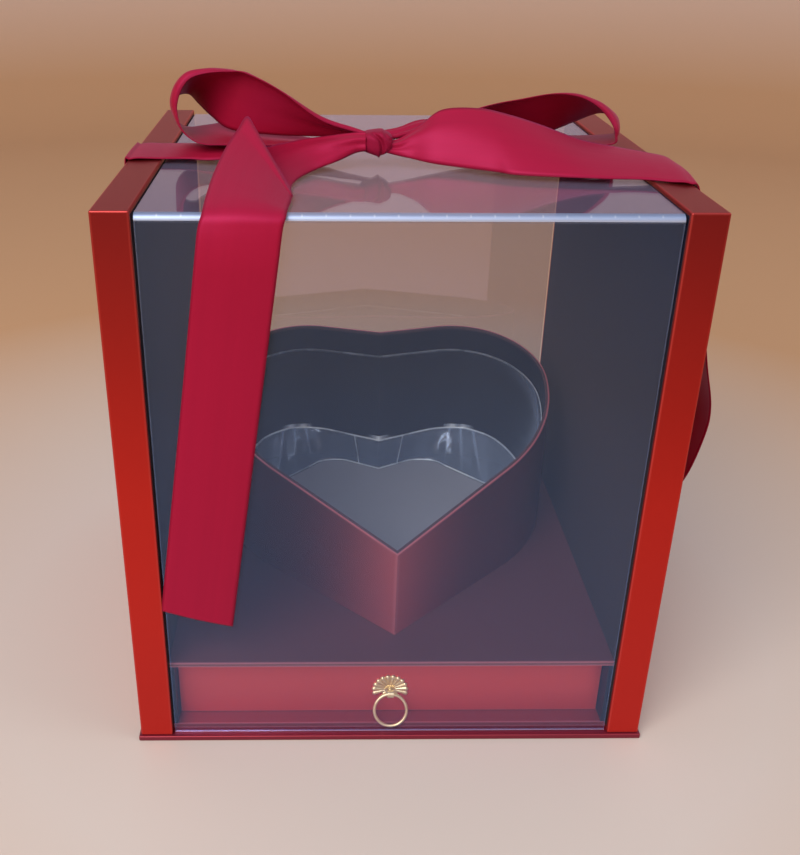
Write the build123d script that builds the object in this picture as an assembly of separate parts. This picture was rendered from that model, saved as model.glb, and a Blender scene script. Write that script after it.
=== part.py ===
from build123d import *
import math
import os

# A clear-fronted gift box: two hollow side panels on a base board, a bent clear cover between
# them, a heart-shaped tray on the display floor, a shallow drawer below with a ring pull, and a
# satin ribbon tied in a bow over the top.
# Millimetres. +X is to the right, -Y is the front, +Z is up. The origin is on the surface that
# the box stands on, under the middle of the base board.

# Box, side panels and base board
body_width = 270.0
body_depth = 248.0
panel_height = 287.0
panel_thickness = 17.0
panel_board = 2.0
panel_edge_radius = 0.9
liner_board = 2.0
base_thickness = 3.0
base_overhang = 1.2
base_edge_radius = 0.7

# Clear cover, one bent sheet whose front leaf folds at the crease
sheet_thickness = 0.5
sheet_setback = 2.2
sheet_drop = 1.7
sheet_bend_radius = 3.0
sheet_side_gap = 1.2
leaf_gap = 0.3

# Drawer cabinet under the display floor
cabinet_setback = 5.8
cabinet_height = 44.2
cabinet_wall = 2.5
cabinet_bottom_thickness = 3.0
floor_thickness = 2.5

# Drawer
drawer_recess = 9.2
drawer_front_thickness = 3.0
drawer_wall = 2.2
drawer_bottom_thickness = 2.0
drawer_side_gap = 0.6
drawer_height_gap = 0.4
drawer_back_gap = 8.0
drawer_rim_drop = 2.0
lining_thickness = 0.6

# Ring pull: fluted shell plate, eye post with split legs, washer and ring
plate_fan_radius = 10.2
plate_skirt_radius = 5.4
hub_radius = 2.8
hub_thickness = 1.1
flute_tip_radius = 1.55
flute_root_radius = 0.5
flute_start = 1.9
skirt_flute_radius = 1.0
fan_flutes = 12
skirt_flutes = 5
fan_spread = 210.0
skirt_spread = 100.0
pull_height = 18.4
eye_standoff = 4.2
eye_radius = 2.1
eye_hole_radius = 1.3
eye_length = 3.4
leg_radius = 1.2
leg_clearance = 0.15
leg_length = 5.0
leg_width = 1.8
leg_thickness = 0.6
washer_radius = 3.6
washer_thickness = 0.5
ring_outer_diameter = 19.4
ring_wire = 1.8
ring_clearance = 0.35

# Heart tray, an upright wall whose rim slopes down to the tip in front
heart_shift = 2.6
heart_side_gap = 12.8
heart_back_gap = 7.8
heart_tip_angle = 43.8
heart_side_radius = 119.6
heart_lobe_radius = 56.5
heart_lobe_heading = 190.4
heart_tip_height = 51.9
heart_rim_angle = 13.5
heart_wall_thickness = 2.0
heart_lining_thickness = 0.6
heart_lining_drop = 1.2
heart_bottom_thickness = 3.0

# Clear formed insert in the heart tray
insert_thickness = 0.5
insert_rim_drop = 15.5
insert_gap = 0.4
insert_step_height = 27.5
insert_step_inset = 12.5
insert_ledge = 2.0
insert_foot_inset = 22.0

# Ribbon: band, knot, and how far the bow and the slack strand stand off the box
ribbon_width = 38.0
ribbon_thickness = 0.8
ribbon_clearance = 0.4
bow_rise = 42.0
slack_reach = 31.0
knot_width = 15.0
knot_depth = 14.0
knot_height = 14.0
knot_edge_radius = 4.5
slot_length = 43.0
slot_height = 4.0
slot_level = 98.0
slot_setback = 94.0
tail_drop = 210.0
tail_lean = 29.0
tail_hinge_gap = 9.0
tail_end_slant = 10.0

# One length past a face serves every cut
cut_overrun = 5.0

# Places worked out from the sizes above
half_width = body_width / 2
half_depth = body_depth / 2
inner_half_width = half_width - panel_thickness
panel_bottom = base_thickness
panel_top = panel_bottom + panel_height
sheet_top = panel_top - sheet_drop
sheet_half_width = inner_half_width - sheet_side_gap
sheet_front = -half_depth + sheet_setback
sheet_back = half_depth - sheet_setback
crease_level = sheet_top - sheet_bend_radius
cabinet_front = -half_depth + cabinet_setback
cabinet_back = half_depth - cabinet_setback
cabinet_floor = base_thickness + cabinet_bottom_thickness
display_level = base_thickness + cabinet_height
cabinet_ceiling = display_level - floor_thickness
drawer_front_face = cabinet_front + drawer_recess
drawer_back_face = cabinet_back - cabinet_wall - drawer_back_gap
drawer_half_width = inner_half_width - cabinet_wall - drawer_side_gap
drawer_low = cabinet_floor + drawer_height_gap
drawer_high = cabinet_ceiling - drawer_height_gap
pull_level = base_thickness + pull_height
eye_axis_y = drawer_front_face - eye_standoff
ring_wire_radius = ring_wire / 2
ring_mean_radius = ring_outer_diameter / 2 - ring_wire_radius
heart_tip_rim = display_level + heart_tip_height
heart_lean = math.radians(heart_tip_angle)
heart_slope = math.tan(math.radians(heart_rim_angle))
heart_half_width = inner_half_width - heart_side_gap
heart_back_y = sheet_back - sheet_thickness - heart_back_gap
heart_side_x = heart_half_width - heart_side_radius
heart_lobe_x = heart_half_width - heart_lobe_radius
heart_arc_y = heart_back_y - heart_lobe_radius
heart_straight_x = heart_side_x + heart_side_radius * math.sin(heart_lean)
heart_straight_y = heart_arc_y - heart_side_radius * math.cos(heart_lean)
heart_tip_y = heart_straight_y - heart_straight_x * math.tan(heart_lean)
heart_back_rim = heart_tip_rim + heart_slope * (heart_back_y - heart_tip_y)


def block(x_span, y_span, z_span):
    """A plain board between two corners, given as (low, high) on each axis."""
    size = [high - low for low, high in (x_span, y_span, z_span)]
    centre = [(high + low) / 2 for low, high in (x_span, y_span, z_span)]
    return Pos(*centre) * Box(*size)


def side_span(side, inner, outer):
    """An X span on the right (+1) or left (-1) of the box, from inner to outer."""
    return tuple(sorted((side * inner, side * outer)))


# Base board and side panels
def base_board():
    half_x = half_width + base_overhang
    half_y = half_depth + base_overhang
    board = block((-half_x, half_x), (-half_y, half_y), (0, base_thickness))
    return fillet(board.edges(), base_edge_radius)


def panel_shell(side):
    """A shallow tray on edge: outer face and rim, open to the inside, with the ribbon's slot."""
    depth_span = (-half_depth, half_depth)
    body = block(side_span(side, inner_half_width, half_width), depth_span, (panel_bottom, panel_top))
    body = fillet(body.edges(), panel_edge_radius)
    hollow_depth = (-half_depth + panel_board, half_depth - panel_board)
    hollow_height = (panel_bottom + panel_board, panel_top - panel_board)
    hollow_x = side_span(side, inner_half_width - cut_overrun, half_width - panel_board)
    slot_middle = -half_depth + slot_setback
    slot_y = (slot_middle - slot_length / 2, slot_middle + slot_length / 2)
    slot_z = (slot_level - slot_height / 2, slot_level + slot_height / 2)
    slot_x = side_span(side, half_width - panel_board - cut_overrun, half_width + cut_overrun)
    return body - block(hollow_x, hollow_depth, hollow_height) - block(slot_x, slot_y, slot_z)


def panel_liner(side):
    """The dark board that closes the panel's tray, flush with its rim."""
    depth_span = (-half_depth + panel_board, half_depth - panel_board)
    height_span = (panel_bottom + panel_board, panel_top - panel_board)
    return block(side_span(side, inner_half_width, inner_half_width + liner_board), depth_span, height_span)


# Clear cover
def cover_profile(outer_offset):
    """The fixed sheet's side view: the crease bend, the top, the rear bend and the back."""
    front = sheet_front + outer_offset
    back = sheet_back - outer_offset
    top = sheet_top - outer_offset
    radius = sheet_bend_radius - outer_offset
    bend_y = sheet_bend_radius + sheet_front
    rear_y = sheet_back - sheet_bend_radius
    half_turn = math.sqrt(0.5)
    start = (front, crease_level)
    bend_middle = (bend_y - radius * half_turn, crease_level + radius * half_turn)
    rear_middle = (rear_y + radius * half_turn, crease_level + radius * half_turn)
    return start, bend_middle, (bend_y, top), (rear_y, top), rear_middle, (back, crease_level)


def clear_cover():
    outer = cover_profile(0)
    inner = cover_profile(sheet_thickness)
    foot = base_thickness
    edges = [
        ThreePointArc(outer[0], outer[1], outer[2]),
        Line(outer[2], outer[3]),
        ThreePointArc(outer[3], outer[4], outer[5]),
        Line(outer[5], (outer[5][0], foot)),
        Line((outer[5][0], foot), (inner[5][0], foot)),
        Line((inner[5][0], foot), inner[5]),
        ThreePointArc(inner[5], inner[4], inner[3]),
        Line(inner[3], inner[2]),
        ThreePointArc(inner[2], inner[1], inner[0]),
        Line(inner[0], outer[0]),
    ]
    side_view = Plane.YZ.offset(-sheet_half_width) * make_face(edges)
    return extrude(side_view, amount=2 * sheet_half_width, dir=(1, 0, 0))


def front_sheet():
    """The leaf in front, which swings out at the crease."""
    y_span = (sheet_front, sheet_front + sheet_thickness)
    z_span = (base_thickness + leaf_gap, crease_level - leaf_gap)
    return block((-sheet_half_width, sheet_half_width), y_span, z_span)


# Drawer cabinet
def cabinet_boards():
    depth_span = (cabinet_front, cabinet_back)
    full = (-inner_half_width, inner_half_width)
    wall_height = (cabinet_floor, cabinet_ceiling)
    wall_inner = inner_half_width - cabinet_wall
    back_span = (cabinet_back - cabinet_wall, cabinet_back)
    return {
        "cabinet_bottom_board": block(full, depth_span, (base_thickness, cabinet_floor)),
        "display_floor": block(full, depth_span, (cabinet_ceiling, display_level)),
        "cabinet_left_wall": block(side_span(-1, wall_inner, inner_half_width), depth_span, wall_height),
        "cabinet_right_wall": block(side_span(1, wall_inner, inner_half_width), depth_span, wall_height),
        "cabinet_back_wall": block((-wall_inner, wall_inner), back_span, wall_height),
    }


# Drawer, five boards and a floor lining
def drawer_boards():
    half = drawer_half_width
    front_back = drawer_front_face + drawer_front_thickness
    tray_top = drawer_high - drawer_rim_drop
    side_depth = (front_back, drawer_back_face)
    inner = half - drawer_wall
    floor_top = drawer_low + drawer_bottom_thickness
    back_span = (drawer_back_face - drawer_wall, drawer_back_face)
    inner_depth = (front_back, drawer_back_face - drawer_wall)
    front = block((-half, half), (drawer_front_face, front_back), (drawer_low, drawer_high))
    leg_hole = Cylinder(leg_radius + leg_clearance, 2 * drawer_front_thickness + cut_overrun)
    front = front - Pos(0, drawer_front_face, pull_level) * Rot(90, 0, 0) * leg_hole
    wall_height = (drawer_low, tray_top)
    inner_span = (-inner, inner)
    return {
        "drawer_front": front,
        "drawer_left_side": block(side_span(-1, inner, half), side_depth, wall_height),
        "drawer_right_side": block(side_span(1, inner, half), side_depth, wall_height),
        "drawer_back": block(inner_span, back_span, wall_height),
        "drawer_bottom": block(inner_span, inner_depth, (drawer_low, floor_top)),
        "drawer_lining": block(inner_span, inner_depth, (floor_top, floor_top + lining_thickness)),
    }


# Ring pull
def flute(angle, reach, tip_radius):
    """One rib of the shell: a cone that widens from the hub to a round tip, along local X."""
    length = reach - tip_radius - flute_start
    cone = Cone(flute_root_radius, tip_radius, length, align=(Align.CENTER, Align.CENTER, Align.MIN))
    rib = Pos(0, 0, flute_start) * cone + Pos(0, 0, flute_start + length) * Sphere(tip_radius)
    return Rot(0, 0, angle) * Rot(0, 90, 0) * rib


def pull_plate():
    """A fan of wide flutes above the eye and a skirt of short ones below, round a flat hub."""
    fan_step = fan_spread / (fan_flutes - 1)
    skirt_step = skirt_spread / (skirt_flutes - 1)
    up = 90
    ribs = [flute(up - fan_spread / 2 + fan_step * i, plate_fan_radius, flute_tip_radius)
            for i in range(fan_flutes)]
    ribs += [flute(-up - skirt_spread / 2 + skirt_step * i, plate_skirt_radius, skirt_flute_radius)
             for i in range(skirt_flutes)]
    shell = Cylinder(hub_radius, 2 * hub_thickness).fuse(*ribs)
    reach = 2 * plate_fan_radius + cut_overrun
    shell = shell & Pos(0, 0, reach / 2) * Box(reach, reach, reach)
    shell = shell - Cylinder(leg_radius + leg_clearance, reach)
    return Pos(0, drawer_front_face, pull_level) * Rot(90, 0, 0) * shell


def pull_eye():
    """A short tube across the front for the ring, on a shank whose split legs spread behind."""
    tube = Cylinder(eye_radius, eye_length)
    hole = Cylinder(eye_hole_radius, 2 * eye_length)
    behind = drawer_front_face + drawer_front_thickness + washer_thickness
    shank_length = behind - eye_axis_y
    shank_middle = Pos(0, eye_axis_y + shank_length / 2, pull_level)
    shank = shank_middle * Rot(90, 0, 0) * Cylinder(leg_radius, shank_length)
    legs = block((-leg_length, leg_length), (behind, behind + leg_thickness),
                 (pull_level - leg_width / 2, pull_level + leg_width / 2))
    across = Pos(0, eye_axis_y, pull_level) * Rot(0, 90, 0)
    return across * tube + shank + legs - across * hole


def pull_washer():
    behind = drawer_front_face + drawer_front_thickness
    disc = Cylinder(washer_radius, washer_thickness) - Cylinder(leg_radius + leg_clearance, washer_thickness)
    return Pos(0, behind + washer_thickness / 2, pull_level) * Rot(90, 0, 0) * disc


def ring_lean():
    """Angle at which the hanging ring clears the front edge of the cabinet's bottom board."""
    reach_y = eye_axis_y - cabinet_front
    reach_z = pull_level - cabinet_floor
    corner = math.hypot(reach_y, reach_z)
    margin = math.asin((ring_wire_radius + ring_clearance) / corner)
    return math.degrees(math.atan2(reach_y, reach_z) + margin)


def pull_ring():
    ring = Rot(90, 0, 0) * Torus(ring_mean_radius, ring_wire_radius)
    hung = Pos(0, 0, -ring_mean_radius) * ring
    return Pos(0, eye_axis_y, pull_level) * Rot(-ring_lean(), 0, 0) * hung


# Heart tray
def heart_face(inset):
    """The heart's plan, drawn in from its outer face by inset: a straight, two arcs and a
    straight on each side, from the tip in front to the notch at the back."""
    heading = math.radians(heart_lobe_heading)
    side_radius = heart_side_radius - inset
    lobe_radius = heart_lobe_radius - inset
    tip = (0, heart_tip_y + inset / math.cos(heart_lean))
    side_start = (heart_side_x + side_radius * math.sin(heart_lean),
                  heart_arc_y - side_radius * math.cos(heart_lean))
    side_sweep = 90 - heart_tip_angle
    lobe_sweep = heart_lobe_heading - 90
    lobe_end = (heart_lobe_x + lobe_radius * math.sin(heading), heart_arc_y - lobe_radius * math.cos(heading))
    notch = (0, lobe_end[1] - lobe_end[0] * math.tan(heading))
    right = [
        Line(tip, side_start),
        CenterArc((heart_side_x, heart_arc_y), side_radius, -side_sweep, side_sweep),
        CenterArc((heart_lobe_x, heart_arc_y), lobe_radius, 0, lobe_sweep),
        Line(lobe_end, notch),
    ]
    left = [mirror(edge, about=Plane.YZ) for edge in right]
    return Pos(heart_shift, 0, 0) * make_face(right + left)


def rim_plane(drop):
    """The sloping plane of the heart's rim, lowered by drop."""
    return Plane(origin=(0, heart_tip_y, heart_tip_rim - drop), z_dir=(0, -heart_slope, 1))


def heart_band(outer_inset, inner_inset, foot, drop):
    """An upright band between two outlines, cut along the rim's slope."""
    tall = heart_back_rim + cut_overrun - foot
    ring = extrude(heart_face(outer_inset), tall) - extrude(heart_face(inner_inset), tall)
    return split(Pos(0, 0, foot) * ring, bisect_by=rim_plane(drop), keep=Keep.BOTTOM)


def heart_parts():
    inside = heart_wall_thickness
    lined = inside + heart_lining_thickness
    bottom = extrude(heart_face(inside), heart_bottom_thickness)
    bottom_top = display_level + heart_bottom_thickness
    return {
        "heart_wall": heart_band(0, inside, display_level, 0),
        "heart_bottom": Pos(0, 0, display_level) * bottom,
        "heart_lining": heart_band(inside, lined, bottom_top, heart_lining_drop),
    }


def heart_insert():
    """A clear tray: sloped upper wall, a ledge, a steeper lower wall and a floor."""
    rim_inset = heart_wall_thickness + heart_lining_thickness + insert_gap
    foot = display_level + heart_bottom_thickness
    step = display_level + insert_step_height
    high = heart_back_rim - insert_rim_drop
    lower_inset = insert_step_inset + insert_ledge

    def stage(inset_low, inset_high, low, top):
        return loft([Pos(0, 0, low) * heart_face(inset_low), Pos(0, 0, top) * heart_face(inset_high)],
                    ruled=True)

    skin = insert_thickness
    outside = stage(insert_step_inset, rim_inset, step, high)
    outside += stage(insert_foot_inset, lower_inset, foot, step)
    hollow = stage(insert_step_inset + skin, rim_inset + skin, step + skin, high)
    hollow += stage(insert_foot_inset + skin, lower_inset + skin, foot + skin, step + skin)
    tray = outside - hollow
    return split(tray, bisect_by=rim_plane(insert_rim_drop), keep=Keep.BOTTOM)


# Ribbon
# Each row is one cross line of the band: the (x, y, height) of its front edge and of its back
# edge. On top of the box x is a share of the half width, y of the half depth, and the height is
# a share of the bow's rise above the panels' top edges.
knot_shares = (-0.078, -0.234, 0.25)
left_loop_shares = [
    ((-0.100, -0.230, 0.30), (-0.100, -0.190, 0.34)),
    ((-0.165, -0.230, 0.36), (-0.170, -0.155, 0.27)),
    ((-0.287, -0.235, 0.50), (-0.298, -0.110, 0.24)),
    ((-0.430, -0.230, 0.82), (-0.460, -0.105, 0.25)),
    ((-0.551, -0.210, 1.00), (-0.622, -0.070, 0.29)),
    ((-0.610, -0.190, 1.01), (-0.698, -0.005, 0.41)),
    ((-0.688, -0.180, 0.99), (-0.752, 0.060, 0.53)),
    ((-0.752, -0.180, 0.93), (-0.792, 0.095, 0.63)),
    ((-0.786, -0.180, 0.81), (-0.836, 0.105, 0.61)),
    ((-0.804, -0.180, 0.67), (-0.864, 0.108, 0.52)),
    ((-0.808, -0.185, 0.55), (-0.862, 0.106, 0.40)),
    ((-0.795, -0.200, 0.38), (-0.836, 0.100, 0.27)),
    ((-0.760, -0.215, 0.26), (-0.795, 0.092, 0.23)),
    ((-0.713, -0.222, 0.20), (-0.727, 0.083, 0.26)),
    ((-0.630, -0.218, 0.19), (-0.597, 0.075, 0.30)),
    ((-0.390, -0.200, 0.18), (-0.380, -0.030, 0.20)),
    ((-0.180, -0.215, 0.21), (-0.180, -0.170, 0.20)),
    ((-0.100, -0.220, 0.23), (-0.100, -0.200, 0.22)),
]
right_loop_shares = [
    ((-0.050, -0.200, 0.25), (-0.050, -0.160, 0.34)),
    ((0.010, -0.185, 0.26), (0.010, -0.115, 0.35)),
    ((0.125, -0.140, 0.34), (0.130, -0.030, 0.40)),
    ((0.325, -0.100, 0.58), (0.350, 0.105, 0.18)),
    ((0.474, -0.095, 0.68), (0.585, 0.115, 0.16)),
    ((0.590, -0.095, 0.74), (0.672, 0.145, 0.22)),
    ((0.685, -0.095, 0.71), (0.735, 0.175, 0.28)),
    ((0.757, -0.095, 0.60), (0.832, 0.192, 0.38)),
    ((0.804, -0.095, 0.46), (0.905, 0.190, 0.34)),
    ((0.828, -0.110, 0.34), (0.916, 0.182, 0.25)),
    ((0.834, -0.115, 0.25), (0.905, 0.180, 0.17)),
    ((0.826, -0.120, 0.17), (0.890, 0.178, 0.12)),
    ((0.712, -0.120, 0.13), (0.770, 0.180, 0.10)),
    ((0.536, -0.115, 0.12), (0.580, 0.150, 0.11)),
    ((0.236, -0.140, 0.17), (0.250, 0.010, 0.16)),
    ((0.020, -0.190, 0.22), (0.020, -0.140, 0.20)),
    ((-0.050, -0.205, 0.24), (-0.050, -0.180, 0.23)),
]
left_strand_shares = [
    ((-0.100, -0.212, 0.145), (-0.100, -0.190, 0.145)),
    ((-0.180, -0.200, 0.115), (-0.180, -0.130, 0.115)),
    ((-0.360, -0.170, 0.080), (-0.362, 0.030, 0.085)),
    ((-0.660, -0.240, 0.030), (-0.680, 0.025, 0.050)),
    ((-0.770, -0.215, 0.024), (-0.785, 0.075, 0.036)),
    ((-0.880, -0.210, 0.021), (-0.885, 0.095, 0.021)),
    ((-0.985, -0.220, 0.021), (-0.985, 0.083, 0.021)),
]
right_strand_shares = [
    ((-0.050, -0.270, 0.148), (-0.050, -0.245, 0.28)),
    ((0.000, -0.272, 0.110), (0.000, -0.232, 0.275)),
    ((0.048, -0.290, 0.085), (0.085, -0.190, 0.41)),
    ((0.148, -0.310, 0.030), (0.165, -0.183, 0.59)),
    ((0.332, -0.420, 0.024), (0.292, -0.205, 0.62)),
    ((0.410, -0.475, 0.022), (0.390, -0.228, 0.57)),
    ((0.573, -0.510, 0.022), (0.515, -0.245, 0.46)),
    ((0.709, -0.530, 0.022), (0.675, -0.232, 0.28)),
    ((0.845, -0.545, 0.023), (0.807, -0.238, 0.20)),
    ((0.921, -0.580, 0.024), (0.909, -0.272, 0.16)),
    ((0.985, -0.608, 0.024), (0.995, -0.300, 0.10)),
]
tail_band_shares = [
    ((-0.117, -0.285, 0.168), (-0.117, -0.262, 0.367)),
    ((-0.157, -0.290, 0.147), (-0.164, -0.258, 0.361)),
    ((-0.219, -0.330, 0.078), (-0.251, -0.255, 0.323)),
    ((-0.302, -0.389, 0.010), (-0.350, -0.255, 0.279)),
    ((-0.361, -0.521, -0.005), (-0.430, -0.270, 0.235)),
    ((-0.382, -0.657, -0.005), (-0.493, -0.320, 0.250)),
]
tail_turn_shares = [
    ((-0.373, -0.798, 0.006), (-0.534, -0.391, 0.599)),
    ((-0.375, -0.823, 0.004), (-0.568, -0.452, 0.501)),
    ((-0.377, -0.875, -0.004), (-0.604, -0.585, 0.361)),
    ((-0.382, -0.927, -0.010), (-0.630, -0.766, 0.211)),
    ((-0.386, -0.985, -0.014), (-0.652, -0.985, 0.020)),
]

# Down the sides: standoff from the panel as a share of the slack strand's reach, y as a share of
# the half depth, and height as a share of the panel's height.
right_side_shares = [
    (0.115, -0.605, -0.290, 0.985),
    (0.390, -0.590, -0.275, 0.845),
    (0.730, -0.565, -0.250, 0.690),
    (1.000, -0.532, -0.218, 0.590),
    (1.020, -0.508, -0.194, 0.520),
    (0.860, -0.468, -0.154, 0.420),
    (0.480, -0.430, -0.116, 0.352),
    (0.085, -0.400, -0.086, 0.331),
]
left_side_shares = [
    (0.040, -0.224, 0.082, 0.985),
    (0.030, -0.280, 0.027, 0.800),
    (0.030, -0.340, -0.034, 0.600),
    (0.030, -0.390, -0.084, 0.430),
    (0.085, -0.400, -0.086, 0.345),
]


def bow_point(share):
    x_share, y_share, rise_share = share
    return Vector(x_share * half_width, y_share * half_depth, panel_top + rise_share * bow_rise)


def bow_rows(shares):
    return [(bow_point(front), bow_point(back)) for front, back in shares]


def side_rows(shares, side):
    """Cross lines down a panel's outer face, the last one through the ribbon's slot."""
    rows = []
    for standoff_share, front_share, back_share, height_share in shares:
        x = side * (half_width + standoff_share * slack_reach)
        z = panel_bottom + height_share * panel_height
        rows.append((Vector(x, front_share * half_depth, z), Vector(x, back_share * half_depth, z)))
    slot_middle = -half_depth + slot_setback
    end_x = side * (half_width - 2 * panel_board)
    half_band = ribbon_width / 2
    rows.append((Vector(end_x, slot_middle - half_band, slot_level),
                 Vector(end_x, slot_middle + half_band, slot_level)))
    return rows


def smoothed(rows, steps):
    """Cross lines between the given ones, on a curve through them all."""
    fine = []
    last = len(rows) - 1
    for index in range(last):
        around = [rows[max(index - 1, 0)], rows[index], rows[index + 1], rows[min(index + 2, last)]]
        for step in range(steps):
            t = step / steps
            fine.append(tuple(curve_point([row[edge] for row in around], t) for edge in (0, 1)))
    return fine + [rows[last]]


def curve_point(near, t):
    """Catmull-Rom curve between the two middle points of four."""
    before, start, end, after = near
    slope_start = (end - before) * 0.5
    slope_end = (after - start) * 0.5
    return (start * (2 * t**3 - 3 * t**2 + 1) + slope_start * (t**3 - 2 * t**2 + t)
            + end * (3 * t**2 - 2 * t**3) + slope_end * (t**3 - t**2))


def band(rows, thickness):
    """A thin solid through the cross lines."""
    middles = [(front + back) * 0.5 for front, back in rows]
    last = len(rows) - 1
    sections = []
    for index, (front, back) in enumerate(rows):
        along = middles[min(index + 1, last)] - middles[max(index - 1, 0)]
        half = along.cross(back - front).normalized() * (thickness / 2)
        corners = [front - half, back - half, back + half, front + half]
        sections.append(make_face(Polyline(*corners, close=True)))
    return loft(sections, ruled=True)


def knot():
    """The short band pulled round the gathered ribbon."""
    body = Box(knot_width, knot_depth, knot_height)
    return Pos(*bow_point(knot_shares)) * fillet(body.edges().filter_by(Axis.X), knot_edge_radius)


def tail_front():
    """The tail's free length, hanging in front of the leaf and swinging with it."""
    crease_front, crease_back = [bow_point(share) for share in tail_turn_shares[-1]]
    top = crease_level - tail_hinge_gap
    bottom = crease_level - tail_drop
    y_span = (sheet_front - ribbon_clearance - ribbon_thickness, sheet_front - ribbon_clearance)
    outline = Polyline(
        (crease_back.X, top), (crease_front.X, top),
        (crease_front.X - tail_lean, bottom), (crease_back.X - tail_lean, bottom + tail_end_slant),
        close=True)
    face = Plane.XZ.offset(-y_span[1]) * make_face(outline)
    return extrude(face, amount=ribbon_thickness)


def ribbon_parts():
    tied = knot()
    smooth_steps = 2
    right_rows = bow_rows(right_strand_shares) + side_rows(right_side_shares, 1)
    left_rows = bow_rows(left_strand_shares) + side_rows(left_side_shares, -1)
    tail_rows = bow_rows(tail_band_shares + tail_turn_shares)

    def strip(rows):
        return band(smoothed(rows, smooth_steps), ribbon_thickness) - tied

    return {
        "ribbon_knot": tied,
        "ribbon_loop_left": strip(bow_rows(left_loop_shares)),
        "ribbon_loop_right": strip(bow_rows(right_loop_shares)),
        "ribbon_strand_left": strip(left_rows),
        "ribbon_strand_right": strip(right_rows),
        "ribbon_tail_fold": strip(tail_rows),
        "ribbon_tail_front": tail_front(),
    }


def all_parts():
    parts = {"base_board": base_board()}
    for name, side in (("left", -1), ("right", 1)):
        parts[f"{name}_panel_shell"] = panel_shell(side)
        parts[f"{name}_panel_liner"] = panel_liner(side)
    parts["clear_cover"] = clear_cover()
    parts["front_sheet"] = front_sheet()
    parts.update(cabinet_boards())
    parts.update(drawer_boards())
    parts["pull_plate"] = pull_plate()
    parts["pull_eye"] = pull_eye()
    parts["pull_washer"] = pull_washer()
    parts["pull_ring"] = pull_ring()
    parts.update(heart_parts())
    parts["heart_insert"] = heart_insert()
    parts.update(ribbon_parts())
    return parts


os.makedirs("parts", exist_ok=True)
for node, solid in all_parts().items():
    export_step(solid, f"parts/{node}.step")
print("ring axis y, z:", eye_axis_y, pull_level, "ring lean:", round(ring_lean(), 2))
print("crease y, z:", sheet_front, crease_level)
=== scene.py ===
# %% [markdown]
# # A clear-fronted gift box with a drawer
# The solids of this box come from a CAD model and already sit at their real size and place. This
# lesson dresses them: wrapped paper, clear plastic, pale gold metal and a satin ribbon. Everything
# is in metres, with +X to the right, the front towards -Y and +Z up.

# %% Load the frame
import math
import bmesh
import bpy
from mathutils import Matrix, Vector


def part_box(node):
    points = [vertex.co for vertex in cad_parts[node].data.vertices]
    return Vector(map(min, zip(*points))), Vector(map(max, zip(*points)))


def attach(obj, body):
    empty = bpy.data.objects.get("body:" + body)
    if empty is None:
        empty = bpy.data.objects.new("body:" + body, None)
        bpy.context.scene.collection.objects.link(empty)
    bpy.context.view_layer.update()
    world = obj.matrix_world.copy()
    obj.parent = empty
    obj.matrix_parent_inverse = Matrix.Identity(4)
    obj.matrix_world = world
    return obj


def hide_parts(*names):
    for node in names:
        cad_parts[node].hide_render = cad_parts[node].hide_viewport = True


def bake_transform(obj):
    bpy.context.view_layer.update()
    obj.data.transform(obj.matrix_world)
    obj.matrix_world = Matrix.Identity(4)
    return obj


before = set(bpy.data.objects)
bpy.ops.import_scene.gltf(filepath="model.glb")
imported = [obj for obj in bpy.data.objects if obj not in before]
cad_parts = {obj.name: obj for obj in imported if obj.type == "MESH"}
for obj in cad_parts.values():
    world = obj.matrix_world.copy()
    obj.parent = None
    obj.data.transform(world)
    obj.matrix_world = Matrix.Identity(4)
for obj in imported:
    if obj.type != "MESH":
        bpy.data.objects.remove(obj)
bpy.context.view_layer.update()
millimetre = 0.001
print("nodes in the frame:", len(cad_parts))

# %% [markdown]
# ## Places that the pieces share
# The ribbon lies over the panels and the clear cover, so its places are worked out from the boxes of
# those nodes. A node's box gives its lowest and highest corner.

# %% Places on the box


def node_box(node):
    return [Vector(corner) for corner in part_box(node)]


panel_low, panel_high = node_box("right_panel_shell")
cover_low, cover_high = node_box("clear_cover")
knot_low, knot_high = node_box("ribbon_knot")
sheet_front = node_box("front_sheet")[0].y
half_width = panel_high.x
half_depth = panel_high.y
panel_bottom = panel_low.z
panel_top = panel_high.z
panel_height = panel_top - panel_bottom
print("half width and depth:", round(half_width, 4), round(half_depth, 4), "top:", round(panel_top, 4))

# %% [markdown]
# ## The camera
# The view is from a little above and left of the middle. A camera looks along its own -Z axis, so it
# is first tipped up from looking straight down, then turned about the upright axis. The small shift
# slides the picture sideways without turning the camera, which keeps the upright edges as they are.

# %% Camera
camera_place = Vector((-0.0381, -0.5466, 0.4004))
camera_down_angle = 26.55
camera_turn_angle = 1.10
camera_roll_angle = 0.50
camera_lens = 43.1
camera_sensor = 36.0
camera_shift_share = 0.0724
camera_clip_start = 10 * millimetre


def turned(angle, axis):
    return Matrix.Rotation(math.radians(angle), 4, axis)


camera_data = bpy.data.cameras.new("camera")
camera_data.lens = camera_lens
camera_data.sensor_width = camera_sensor
camera_data.shift_x = camera_shift_share
camera_data.clip_start = camera_clip_start
camera = bpy.data.objects.new("camera", camera_data)
camera.matrix_world = (Matrix.Translation(camera_place) @ turned(-camera_turn_angle, "Z")
                       @ turned(90 - camera_down_angle, "X") @ turned(camera_roll_angle, "Z"))
bpy.context.scene.collection.objects.link(camera)
bpy.context.scene.camera = camera
bpy.context.scene.view_settings.view_transform = "Standard"
print("camera at", [round(value, 3) for value in camera.location])

# %% [markdown]
# ## Small helpers
# Every piece below starts as a bmesh, is shaped there and becomes an object at the origin, with its
# place in its mesh. These helpers hold the steps that all of them share.

# %% Helpers for pieces


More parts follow.
